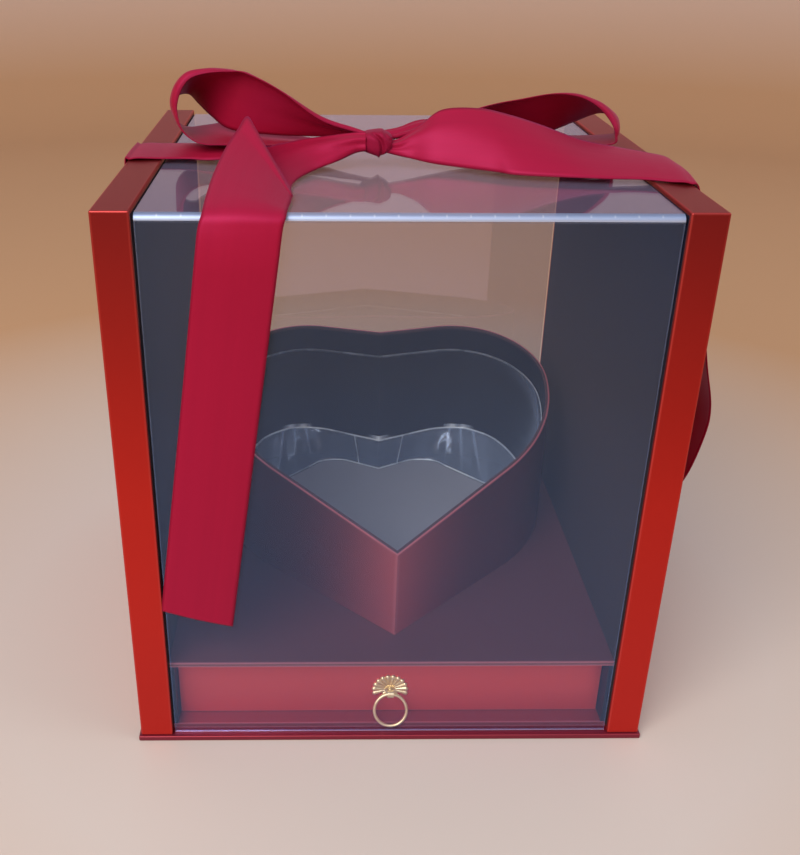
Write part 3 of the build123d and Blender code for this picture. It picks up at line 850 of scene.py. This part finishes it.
right_side_shares = [
    (0.115, -0.605, -0.290, 0.985),
    (0.390, -0.590, -0.275, 0.845),
    (0.730, -0.565, -0.250, 0.690),
    (1.000, -0.532, -0.218, 0.590),
    (1.020, -0.508, -0.194, 0.520),
    (0.860, -0.468, -0.154, 0.420),
    (0.480, -0.430, -0.116, 0.352),
    (0.085, -0.400, -0.086, 0.331),
]
left_side_shares = [
    (0.040, -0.224, 0.082, 0.985),
    (0.030, -0.280, 0.027, 0.800),
    (0.030, -0.340, -0.034, 0.600),
    (0.030, -0.390, -0.084, 0.430),
    (0.085, -0.400, -0.086, 0.345),
]


def bow_point(share):
    """A place on top of the box: shares of the half width, the half depth and the bow's rise."""
    x_share, y_share, rise_share = share
    return Vector((x_share * half_width, y_share * half_depth, panel_top + rise_share * bow_rise))


def bow_lines(shares):
    return [(bow_point(front), bow_point(back)) for front, back in shares]


def side_lines(shares, side):
    """Cross lines down a panel's outer face; the last one is inside the slot."""
    lines = []
    for standoff_share, front_share, back_share, height_share in shares:
        x = side * (half_width + standoff_share * slack_reach)
        z = panel_bottom + height_share * panel_height
        lines.append((Vector((x, front_share * half_depth, z)), Vector((x, back_share * half_depth, z))))
    slot_middle_y = -30 * millimetre
    slot_height = 98 * millimetre
    slot_reach = 4 * millimetre
    slot_end_x = side * (half_width - slot_reach)
    half_band = ribbon_width / 2
    lines.append((Vector((slot_end_x, slot_middle_y - half_band, slot_height)),
                  Vector((slot_end_x, slot_middle_y + half_band, slot_height))))
    return lines


print("cross lines of the loops:", len(left_loop_shares), len(right_loop_shares))

# %% [markdown]
# A band that turns in a loop doesn't stay flat across: its middle stands out a few millimetres, so the
# outer face shows as a bright crescent along the turn. Each route therefore has a list of crown shares,
# one for each cross line, that say how much the middle stands out there.

# %% Ribbon band
crown_height = 6 * millimetre
slope_step = 0.004
half_grid = 0.5
left_loop_crown_shares = [0.1, 0.3, 0.45, 0.45, 0.78, 0.86, 0.82, 0.76, 0.66, 0.48, 0.25, 0.1, 0.08, 0.08,
                          0.1, 0.05, 0, 0]
right_loop_crown_shares = [0.1, 0.2, 0.2, 0.2, 0.2, 0.3, 0.45, 0.5, 0.48, 0.35, 0.2, 0.1, 0.1, 0.1, 0.1, 0, 0]
left_strand_crown_shares = [0, 0.2, 0.55, 0.7, 0.4, 0.1] + [0.05] * 7
right_strand_crown_shares = [0.2, 0.3, 0.4, 0.4, 0.35, 0.3] + [0.2] * 14
tail_crown_shares = [0.3, 0.4, 0.4, 0.3, 0.2, 0.1] + [0.0, 0.1, 0.2, 0.25, 0.25, 0.2] + [0.15] * 8


def curve_point(near, t):
    """A Catmull-Rom curve between the two middle points of four."""
    before, start, end, after = near
    slope_start = (end - before) * 0.5
    slope_end = (after - start) * 0.5
    return (start * (2 * t**3 - 3 * t**2 + 1) + slope_start * (t**3 - 2 * t**2 + t)
            + end * (3 * t**2 - 2 * t**3) + slope_end * (t**3 - t**2))


def cross_line(lines, along):
    """The cross line at a share of the way along the route."""
    last = len(lines) - 1
    index = min(int(along * last), last - 1)
    around = [lines[max(index - 1, 0)], lines[index], lines[index + 1], lines[min(index + 2, last)]]
    return [curve_point([line[edge] for line in around], along * last - index) for edge in (0, 1)]


def middle_point(lines, along):
    return sum(cross_line(lines, along), Vector()) / 2


def share_at(shares, along):
    """The value of an evenly spaced list at a share of the way along it."""
    last = len(shares) - 1
    index = min(int(along * last), last - 1)
    return between(shares[index], shares[index + 1], along * last - index)


def band_normal(lines, along, side):
    """Which way the band's outer face looks; side is -1 for a band that leaves the knot to the left."""
    front, back = cross_line(lines, along)
    before = middle_point(lines, max(along - slope_step, 0.0))
    after = middle_point(lines, min(along + slope_step, 1.0))
    return (after - before).cross(back - front).normalized() * side


def route_length(lines, steps=300):
    middles = [middle_point(lines, step / steps) for step in range(steps + 1)]
    return sum((middles[step + 1] - middles[step]).length for step in range(steps))


def ribbon_band(name, lines, crown_shares, side, skew=1.0, body="case"):
    """A flat grid laid along a route, crowned across. Where it is drawn together towards the knot it
    lies in pleats."""
    rows_per_line = 8
    across = 16
    pleat_count = 2
    pleat_depth = 0.7 * millimetre
    mesh_builder = bmesh.new()
    along_count = rows_per_line * (len(lines) - 1)
    mesh_builder.loops.layers.uv.new("UVMap")
    bmesh.ops.create_grid(mesh_builder, x_segments=across, y_segments=along_count, size=half_grid,
                          calc_uvs=True)
    for vertex in mesh_builder.verts:
        across_share = vertex.co.x + half_grid
        along = min(max(vertex.co.y + half_grid, 0.0), 1.0)
        front, back = cross_line(lines, along)
        gathered = max(0.0, 1 - (back - front).length / ribbon_width)
        pleat = gathered * pleat_depth * math.sin(2 * math.pi * pleat_count * across_share)
        bow = crown_height * share_at(crown_shares, along) * math.sin(math.pi * across_share**skew)
        vertex.co = between(front, back, across_share) + band_normal(lines, along, side) * (bow + pleat)
    bmesh.ops.recalc_face_normals(mesh_builder, faces=mesh_builder.faces)
    piece = finished_piece(name, mesh_builder, ribbon_satin, body)
    thicken(piece, ribbon_thickness, offset=0.0)
    print(name, "is", round(route_length(lines) / millimetre), "mm long")
    return piece


# %% Bow loops and side strands
loop_skew = 0.45
left_loop_lines = bow_lines(left_loop_shares)
left_loop = ribbon_band("bow_loop_left", left_loop_lines, left_loop_crown_shares, -1, loop_skew)
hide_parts("ribbon_loop_left")
right_loop_lines = bow_lines(right_loop_shares)
right_loop = ribbon_band("bow_loop_right", right_loop_lines, right_loop_crown_shares, 1, loop_skew)
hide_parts("ribbon_loop_right")
left_strand_lines = bow_lines(left_strand_shares) + side_lines(left_side_shares, -1)
left_strand = ribbon_band("side_strand_left", left_strand_lines, left_strand_crown_shares, -1)
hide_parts("ribbon_strand_left")
right_strand_lines = bow_lines(right_strand_shares) + side_lines(right_side_shares, 1)
right_strand = ribbon_band("side_strand_right", right_strand_lines, right_strand_crown_shares, 1)
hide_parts("ribbon_strand_right")

# %% [markdown]
# ### The tail
# One end of the ribbon leaves the knot, turns over in a soft fold and hangs down in front of the
# clear sheet, standing off a little where it rounds the front edge. On the real box it bends at that
# edge when the drawer pushes the clear front out. Two pieces would part there, so the tail is made as
# one piece that rides on no body, with its place baked into its mesh.

# %% Tail
tail_drop = 210 * millimetre
tail_lean = 29 * millimetre
tail_end_slant = 10 * millimetre
tail_bulge = 5.4 * millimetre
tail_front_share = -0.399
tail_back_share = -0.664
crease_level = cover_high.z - crease_depth
tail_hang_start = 2.6 * millimetre


def tail_lines():
    lines = bow_lines(tail_band_shares + tail_turn_shares)
    top = crease_level - tail_hang_start
    bottom = crease_level - tail_drop
    for down_share, standoff_share in tail_hang_shares:
        y = sheet_front - standoff_share * tail_bulge
        shift = down_share * tail_lean
        front = (tail_front_share * half_width - shift, y, between(top, bottom, down_share))
        back = (tail_back_share * half_width - shift, y, between(top, bottom + tail_end_slant, down_share))
        lines.append((Vector(front), Vector(back)))
    return lines


tail = ribbon_band("ribbon_tail", tail_lines(), tail_crown_shares, -1, body=None)
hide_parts("ribbon_tail_fold", "ribbon_tail_front")
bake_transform(tail)

# %% [markdown]
# ### The knot
# The knot is a short turn of the same ribbon pulled tight round the gathered bands. Real folds would
# be hidden inside it, so only its outside is made: a cube that is divided and rounded. Its upper and
# lower outlines follow the drawn-in ribbon, with a point below where the end is tucked in. On its left
# the front draws back until the tail's band lies flush with it, and two curved creases are pressed
# into the front.

# %% Knot
knot_top_shares = [(-1.0, 0.62), (-0.34, 0.70), (0.35, 0.78), (0.56, 0.66), (1.0, 0.58)]
knot_bottom_shares = [(-1.0, -0.58), (-0.37, -0.73), (0.05, -0.88), (0.18, -1.04), (0.29, -0.86),
                      (0.59, -0.73), (1.0, -0.50)]
knot_tuck_shares = [(-0.19, 0.58), (0.05, 0.42), (0.23, 0.21), (0.33, -0.10), (0.35, -0.33), (0.24, -1.00)]
knot_turn_shares = [(0.38, 1.04), (0.45, 0.72), (0.55, 0.48), (0.82, 0.20)]


def height_on(outline, place):
    """The height of an outline, given by its corners, at a place along it."""
    for (start, low), (end, high) in zip(outline, outline[1:]):
        if place <= end:
            return between(low, high, max(place - start, 0.0) / (end - start))
    return outline[-1][1]


def nearness(line, place, width):
    """1 on a line of corners, and falling off to 0 within a few widths of it."""
    least = math.inf
    for start, end in zip(line, line[1:]):
        start, end = Vector(start), Vector(end)
        run = end - start
        share = min(max((place - start).dot(run) / run.length_squared, 0.0), 1.0)
        least = min(least, (place - start - run * share).length)
    return math.exp(-(least / width) ** 2)


def knot_wrap():
    divisions = 35
    roundness = 3.6
    swell = 1.08
    smoothing = 0.3
    tuck_depth = 1.8 * millimetre
    tuck_width_share = 0.12
    turn_depth = 0.7 * millimetre
    turn_width_share = 0.09
    front_share = 0.35
    left_start_share = -0.15
    drawn_back_share = 0.30
    mesh_builder = bmesh.new()
    bmesh.ops.create_cube(mesh_builder, size=2.0)
    bmesh.ops.subdivide_edges(mesh_builder, edges=mesh_builder.edges, cuts=divisions, use_grid_fill=True)
    middle = (knot_low + knot_high) / 2
    half = (knot_high - knot_low) / 2 * swell
    for vertex in mesh_builder.verts:
        reach = sum(abs(value) ** roundness for value in vertex.co) ** (1 / roundness)
        unit = vertex.co / reach
        outline = knot_top_shares if unit.z > 0 else knot_bottom_shares
        place = Vector((unit.x, abs(unit.z) * height_on(outline, unit.x)))
        facing = min(max(front_share - unit.y, 0.0), 1.0)
        left_share = min(max(left_start_share - unit.x, 0.0), 1.0)
        depth = unit.y * (1 - drawn_back_share * left_share * facing)
        press = (tuck_depth * nearness(knot_tuck_shares, place, tuck_width_share)
                 + turn_depth * nearness(knot_turn_shares, place, turn_width_share)) * facing
        vertex.co = middle + Vector((place.x * half.x, depth * half.y + press, place.y * half.z))
    bmesh.ops.smooth_vert(mesh_builder, verts=mesh_builder.verts, factor=smoothing,
                          use_axis_x=True, use_axis_y=True, use_axis_z=True)
    bmesh.ops.recalc_face_normals(mesh_builder, faces=mesh_builder.faces)
    return finished_piece("bow_knot", mesh_builder, ribbon_satin, "case")


knot = knot_wrap()
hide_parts("ribbon_knot")
print("faces of the knot:", len(knot.data.polygons))

# %% [markdown]
# ### Cloth
# Each band is listed with its route, how it is held and what it rests on, and the loop prints its name
# with how it is held and what it rests on. Its length is measured along the middle of its route and
# printed when the band is made.

for piece, lines, held, under in (
        (left_loop, left_loop_lines, "folded", ["bow_knot"]),
        (right_loop, right_loop_lines, "folded", ["bow_knot"]),
        (left_strand, left_strand_lines, "draped", ["left_panel_shell", "bow_knot"]),
        (right_strand, right_strand_lines, "draped", ["right_panel_shell", "bow_knot"]),
        (tail, tail_lines(), "hung", ["clear_cover", "bow_knot"])):
    print(piece.name, "is", held, "on", under)

# %% [markdown]
# ## The clear insert
# The tray's insert is thin plastic formed over a block. Stations from the notch to the tip say where its
# foot, its step and its rim lie in plan. Curves through them give rings, and a grid is laid round the
# rings and joined at the tip. A spun or swept shape would have the same form all the way up, and this
# one changes. Where the lower wall is widest the plastic has gathered in upright flutes.

# %% Heart outline
heart_low, heart_high = node_box("heart_wall")
insert_bottom = node_box("heart_insert")[0].z
heart_middle_x = (heart_low.x + heart_high.x) / 2
heart_half_width = (heart_high.x - heart_low.x) / 2
heart_tip_angle = math.radians(43.8)
heart_side_radius = 119.6 * millimetre
heart_lobe_radius = 56.5 * millimetre
heart_lobe_turn = math.radians(100.4)
heart_rim_slope = math.tan(math.radians(13.5))
heart_tip_rim = heart_high.z - heart_rim_slope * (heart_high.y - heart_low.y)


def heart_outline(inset, count):
    """Evenly spaced points round the heart, drawn in by inset, from the tip up its right side to the
    notch and back down the left."""
    arc_steps = 40
    side_x = heart_half_width - heart_side_radius
    arc_y = heart_high.y - heart_lobe_radius
    lobe_x = heart_half_width - heart_lobe_radius
    side_radius = heart_side_radius - inset
    lobe_radius = heart_lobe_radius - inset
    right = []
    side_turn = math.pi / 2 - heart_tip_angle
    for step in range(arc_steps + 1):
        angle = -side_turn + side_turn * step / arc_steps
        right.append(Vector((side_x + side_radius * math.cos(angle), arc_y + side_radius * math.sin(angle))))
    for step in range(1, arc_steps + 1):
        angle = heart_lobe_turn * step / arc_steps
        right.append(Vector((lobe_x + lobe_radius * math.cos(angle), arc_y + lobe_radius * math.sin(angle))))
    start = right[0]
    tip = Vector((0, start.y - start.x * math.tan(heart_tip_angle)))
    end = right[-1]
    notch = Vector((0, end.y - end.x * math.tan(heart_lobe_turn - math.pi / 2)))
    path = [tip] + right + [notch]
    lengths = [0.0]
    for before, after in zip(path, path[1:]):
        lengths.append(lengths[-1] + (after - before).length)
    half = []
    steps = count // 2
    index = 0
    for step in range(steps + 1):
        target = lengths[-1] * step / steps
        while index < len(path) - 2 and lengths[index + 1] < target:
            index += 1
        share = (target - lengths[index]) / (lengths[index + 1] - lengths[index])
        half.append(path[index].lerp(path[index + 1], share))
    mirrored = [Vector((-point.x, point.y)) for point in half[-2:0:-1]]
    return [Vector((heart_middle_x + point.x, point.y)) for point in half + mirrored]


print("rim of the heart from", round(heart_tip_rim, 4), "at the tip to", round(heart_high.z, 4))

# %% Clear insert
insert_station_shares = [
    (1.00, (0.000, 0.862), (0.000, 0.858)),
    (0.95, (0.160, 0.900), (0.127, 0.893)),
    (0.91, (0.276, 0.930), (0.240, 0.920)),
    (0.87, (0.392, 0.953), (0.380, 0.912)),
    (0.83, (0.516, 0.958), (0.470, 0.868)),
    (0.79, (0.630, 0.942), (0.655, 0.770)),
    (0.72, (0.770, 0.870), (0.720, 0.735)),
    (0.63, (0.860, 0.730), (0.745, 0.660)),
    (0.54, (0.855, 0.600), (0.720, 0.560)),
    (0.38, (0.730, 0.430), (0.600, 0.430)),
    (0.19, (0.400, 0.245), (0.340, 0.290)),
    (0.00, (0.000, 0.085), (0.000, 0.145)),
]
flute_shares = [(0.0, 0.0), (0.30, 0.0), (0.345, 1.0), (0.375, 0.0), (0.405, 1.0), (0.435, 0.0),
                (0.465, 0.8), (0.52, 0.0), (1.0, 0.0)]
lower_up_shares = (0.0, 0.12, 0.30, 0.50, 0.70, 0.88, 1.0)
upper_up_shares = (0.0, 0.04, 0.35, 0.70, 1.0)
ring_count = 360
insert_floor = insert_bottom + 2.8 * millimetre
insert_step = insert_bottom + 24.5 * millimetre
insert_thickness = 0.4 * millimetre
insert_rim_drop = 15.5 * millimetre
insert_rim_inset = 3.1 * millimetre
insert_round_off = 0.8 * millimetre
ledge_width = 1.0 * millimetre
flute_depth = 1.0 * millimetre
heart_middle = Vector((heart_middle_x, (heart_low.y + heart_high.y) / 2))


def heart_place(share, side):
    """A place in plan: shares of the heart's half width and of its depth from the tip."""
    return Vector((heart_middle_x + side * share[0] * heart_half_width,
                   between(heart_low.y, heart_high.y, share[1])))


def drawn_in(spot, distance):
    return spot + (heart_middle - spot).normalized() * distance


def at_level(ring, level):
    return [Vector((spot.x, spot.y, level)) for spot in ring]


def on_rim(ring, rise):
    """Puts a ring at a rise above the tray's slanted rim."""
    level = heart_tip_rim + rise
    return [Vector((spot.x, spot.y, level + heart_rim_slope * (spot.y - heart_low.y))) for spot in ring]


def outline_spot(outline, share, side):
    """A place on an outline at a share of the way from the tip to the notch."""
    position = share * ring_count / 2
    if side < 0:
        position = ring_count - position
    before = int(position)
    return outline[before % ring_count].lerp(outline[(before + 1) % ring_count], position - before)


def heart_skin(rows):
    """A grid laid round the heart, with a row of cells from each ring to the next."""
    weld_distance = 0.001 * millimetre
    mesh_builder = bmesh.new()
    last_row = len(rows) - 1
    mesh_builder.loops.layers.uv.new("UVMap")
    bmesh.ops.create_grid(mesh_builder, x_segments=ring_count, y_segments=last_row, size=half_grid,
                          calc_uvs=True)
    for vertex in mesh_builder.verts:
        index = round((vertex.co.x + half_grid) * ring_count) % ring_count
        vertex.co = rows[round((vertex.co.y + half_grid) * last_row)][index]
    bmesh.ops.remove_doubles(mesh_builder, verts=mesh_builder.verts, dist=weld_distance)
    bmesh.ops.recalc_face_normals(mesh_builder, faces=mesh_builder.faces)
    return mesh_builder


turns = []
for index in range(ring_count):
    side = 1 if index < ring_count / 2 else -1
    turns.append((abs(1 - 2 * index / ring_count), side))
rim_round_shares = [rim for rim, _, _ in insert_station_shares]
rim_outline = heart_outline(insert_rim_inset, ring_count)
rim_ring = [outline_spot(rim_outline, share_at(rim_round_shares, along), side) for along, side in turns]
step_ring = []
foot_ring = []
for along, side in turns:
    stations = [(heart_place(step, side), heart_place(foot, side))
                for _, step, foot in insert_station_shares]
    step, foot = cross_line(stations, along)
    step_ring.append(step)
    foot_ring.append(foot)


def insert_rows():
    rows = [at_level([drawn_in(spot, insert_round_off) for spot in foot_ring], insert_floor)]
    for up in lower_up_shares:
        swing = flute_depth * math.sin(math.pi * up)
        ring = []
        for (along, _), foot, step in zip(turns, foot_ring, step_ring):
            wall = between(foot, drawn_in(step, ledge_width), up)
            ring.append(drawn_in(wall, swing * height_on(flute_shares, along)))
        rows.append(at_level(ring, between(insert_floor + insert_round_off, insert_step, up)))
    rows.append(at_level([drawn_in(spot, ledge_width / 2) for spot in step_ring],
                         insert_step + insert_round_off / 4))
    rim = on_rim(rim_ring, -insert_rim_drop)
    step = at_level(step_ring, insert_step + insert_round_off)
    for up in upper_up_shares:
        rows.append([between(low, high, up) for low, high in zip(step, rim)])
    lip = [drawn_in(spot, insert_round_off) for spot in rim_ring]
    rows.append(on_rim(lip, insert_round_off / 4 - insert_rim_drop))
    return rows


def formed_insert(material):
    mesh_builder = heart_skin(insert_rows())
    floor_top = insert_floor + insert_round_off / 2
    floor_edges = [edge for edge in mesh_builder.edges
                   if edge.is_boundary and edge.verts[0].co.z < floor_top and edge.verts[1].co.z < floor_top]
    bmesh.ops.edgeloop_fill(mesh_builder, edges=floor_edges)
    bmesh.ops.recalc_face_normals(mesh_builder, faces=mesh_builder.faces)
    piece = finished_piece("formed_insert", mesh_builder, material, "case")
    thicken(piece, insert_thickness, offset=-1.0)
    return piece


insert = formed_insert(formed_plastic("clear_insert"))
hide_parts("heart_insert")
print("faces of the insert:", len(insert.data.polygons))

# %% [markdown]
# ### Papers of the tray
# The tray's wrap has a painted reflection on the fold at its tip and a painted highlight on its rim,
# where the real wrap catches the light, and it is painted plum dark round its sides as shade. Its dark
# lining turns over the rim and covers the tray's bottom, and a pale grey card lies in the foot of the
# insert. These papers are thinner than a CAD solid should be, so they are skins laid just above the
# solids.

# %% Papers of the tray
# The wrap's colours are painted shade at the sides, a painted reflection at the fold and a painted highlight
# on the rim.
heart_shaded_side_colour = (0.20, 0.058, 0.072)
heart_fold_reflection_colour = (0.66, 0.135, 0.155)
heart_rim_highlight_colour = (0.72, 0.200, 0.230)
heart_card_colour = (0.38, 0.385, 0.44)
rim_lining_colour = (0.085, 0.044, 0.055)
bare_rim = 1.0 * millimetre
rim_cover = 2.5 * millimetre
turned_in = 1.5 * millimetre
paper_skin = 0.12 * millimetre


def heart_wrap():
    fold_reach = 60 * millimetre
    rim_width = 0.9 * millimetre
    fold_highlight_strength = 0.85
    material, tree, shader = new_material("paper_heart_wall")
    place = split_vector(tree, object_place(tree))
    # Painted reflection and highlights: bright red near the fold at the tip, fading to shaded plum round the
    # sides, with a highlight line down the fold and along the rim.
    from_fold = apart(tree, place[0], heart_middle_x)
    fold = math_node(tree, "POWER", remap(tree, from_fold, 0.0, fold_reach, 1.0, 0.0), 2.0)
    front = remap(tree, place[1], heart_middle.y - fold_reach / 4, heart_middle.y, 1.0, 0.0)
    rim_start = heart_tip_rim - heart_rim_slope * heart_low.y
    rim_height = plus(tree, times(tree, place[1], heart_rim_slope), rim_start)
    edge = remap(tree, minus(tree, rim_height, place[2]), rim_width / 2, rim_width, 1.0, 0.0)
    fold_highlight_line = times(tree, remap(tree, from_fold, rim_width / 2, 2 * rim_width, fold_highlight_strength, 0.0), front)
    wrap = blend_colour(tree, times(tree, fold, front), heart_shaded_side_colour, heart_fold_reflection_colour)
    feed(tree, shader, {
        "Base Color": blend_colour(tree, larger(tree, edge, fold_highlight_line), wrap, heart_rim_highlight_colour),
        "Metallic": 0.6,
        "Roughness": 0.36})
    dress(material, "heart_wall")


def lining_paper(name, colour):
    material, tree, shader = new_material(name)
    grain = place_group(tree, paper_grain, Colour=(*colour, 1.0), Depth=paper_depth, Roughness=0.5)
    feed(tree, shader, {
        "Base Color": grain["Colour"],
        "Roughness": grain["Roughness"],
        "Specular IOR Level": 0.2})
    return material


def flat_paper(name, ring, level, material):
    mesh_builder = bmesh.new()
    verts = bmesh.ops.create_circle(mesh_builder, cap_ends=True, segments=ring_count, radius=1.0)["verts"]
    for vertex, place in zip(verts, at_level(ring, level)):
        vertex.co = place
    bmesh.ops.recalc_face_normals(mesh_builder, faces=mesh_builder.faces)
    return finished_piece(name, mesh_builder, material, "case", smooth=False)


heart_wrap()
dark_paper = lining_paper("tray_lining", dark_paper_colour)
rim_paper = lining_paper("tray_rim", rim_lining_colour)
card_paper = lining_paper("tray_card", heart_card_colour)
dress(card_paper, "heart_bottom")
outer_ring = heart_outline(bare_rim, ring_count)
inner_ring = heart_outline(rim_cover, ring_count)
rim_rows = [on_rim(outer_ring, 0.0), on_rim(outer_ring, paper_skin), on_rim(inner_ring, paper_skin),
            on_rim(inner_ring, -turned_in)]
finished_piece("rim_lining", heart_skin(rim_rows), rim_paper, "case", smooth=False)
flat_paper("bottom_lining", inner_ring, insert_bottom + paper_skin, dark_paper)
card_ring = [drawn_in(spot, 2 * insert_round_off) for spot in foot_ring]
flat_paper("foot_card", card_ring, insert_floor + 2 * paper_skin, card_paper)
print("tray papers from", round(insert_bottom, 4), "up to", round(heart_high.z, 4))

# %% [markdown]
# ## Floor, backdrop and light
# The box stands on a pale round floor that curves up into a wall on all sides, so it looks alike from
# any angle. The profile of floor, bend and wall is spun about the upright axis. The paint is pale round
# the box, turns to warm beige further out and is paler again high on the wall. Large soft lamps stand
# in front and above, and the world gives the rest.

# %% Stage


def stage_sweep():
    floor_radius = 1.6
    bend_radius = 0.45
    wall_height = 1.0
    bend_steps = 10
    spin_steps = 64
    weld_distance = 0.1 * millimetre
    mesh_builder = bmesh.new()
    profile = [Vector((0, 0, 0)), Vector((floor_radius, 0, 0))]
    for step in range(1, bend_steps + 1):
        angle = math.pi / 2 * step / bend_steps
        reach = floor_radius + bend_radius * math.sin(angle)
        profile.append(Vector((reach, 0, bend_radius * (1 - math.cos(angle)))))
    profile.append(Vector((floor_radius + bend_radius, 0, wall_height)))
    verts = [mesh_builder.verts.new(place) for place in profile]
    edges = [mesh_builder.edges.new(pair) for pair in zip(verts, verts[1:])]
    bmesh.ops.spin(mesh_builder, geom=verts + edges, cent=(0, 0, 0), axis=(0, 0, 1), dvec=(0, 0, 0),
                   angle=2 * math.pi, steps=spin_steps, use_merge=True)
    bmesh.ops.remove_doubles(mesh_builder, verts=mesh_builder.verts, dist=weld_distance)
    bmesh.ops.recalc_face_normals(mesh_builder, faces=mesh_builder.faces)
    bmesh.ops.reverse_faces(mesh_builder, faces=mesh_builder.faces)
    return mesh_builder


pale_paint = (0.60, 0.52, 0.46)
warm_paint = (0.54, 0.30, 0.15)
high_paint = (0.78, 0.64, 0.58)
pale_radius = 0.24
warm_radius = 0.62
warm_height = 0.08
high_height = 0.50


def stage_paint():
    material, tree, shader = new_material("stage_paint")
    place = split_vector(tree, object_place(tree))
    square = plus(tree, times(tree, place[0], place[0]), times(tree, place[1], place[1]))
    away = remap(tree, math_node(tree, "SQRT", square), pale_radius, warm_radius)
    high = remap(tree, place[2], warm_height, high_height)
    low_paint = blend_colour(tree, away, pale_paint, warm_paint)
    feed(tree, shader, {"Base Color": blend_colour(tree, high, low_paint, high_paint), "Roughness": 0.6})
    return material


sweep = finished_piece("stage_sweep", stage_sweep(), stage_paint(), None)
print("faces of the stage:", len(sweep.data.polygons))

# %% Lamps and world


def soft_lamp(name, place, target, size, power, colour):
    lamp = bpy.data.lights.new(name, "AREA")
    lamp.shape = "SQUARE"
    lamp.size = size
    lamp.energy = power
    lamp.color = colour
    holder = bpy.data.objects.new(name, lamp)
    direction = Vector(target) - Vector(place)
    holder.matrix_world = Matrix.Translation(place) @ direction.to_track_quat("-Z", "Y").to_matrix().to_4x4()
    bpy.context.scene.collection.objects.link(holder)


box_middle = (0, 0, 0.15)
key_place = (-0.7, -1.25, 1.35)
key_colour = (1.0, 0.97, 0.94)
fill_place = (1.3, -0.4, 1.4)
fill_colour = (0.92, 0.96, 1.0)
world_colour = (0.84, 0.88, 1.0, 1.0)
world_strength = 0.55
soft_lamp("key_lamp", key_place, box_middle, size=1.3, power=32.0, colour=key_colour)
soft_lamp("fill_lamp", fill_place, box_middle, size=1.0, power=5.0, colour=fill_colour)
world = bpy.data.worlds.new("world")
world.use_nodes = True
world_tree = world.node_tree
feed(world_tree, world_tree.nodes["Background"], {"Color": world_colour, "Strength": world_strength})
bpy.context.scene.world = world
print("lamps:", [lamp.name for lamp in bpy.data.lights])
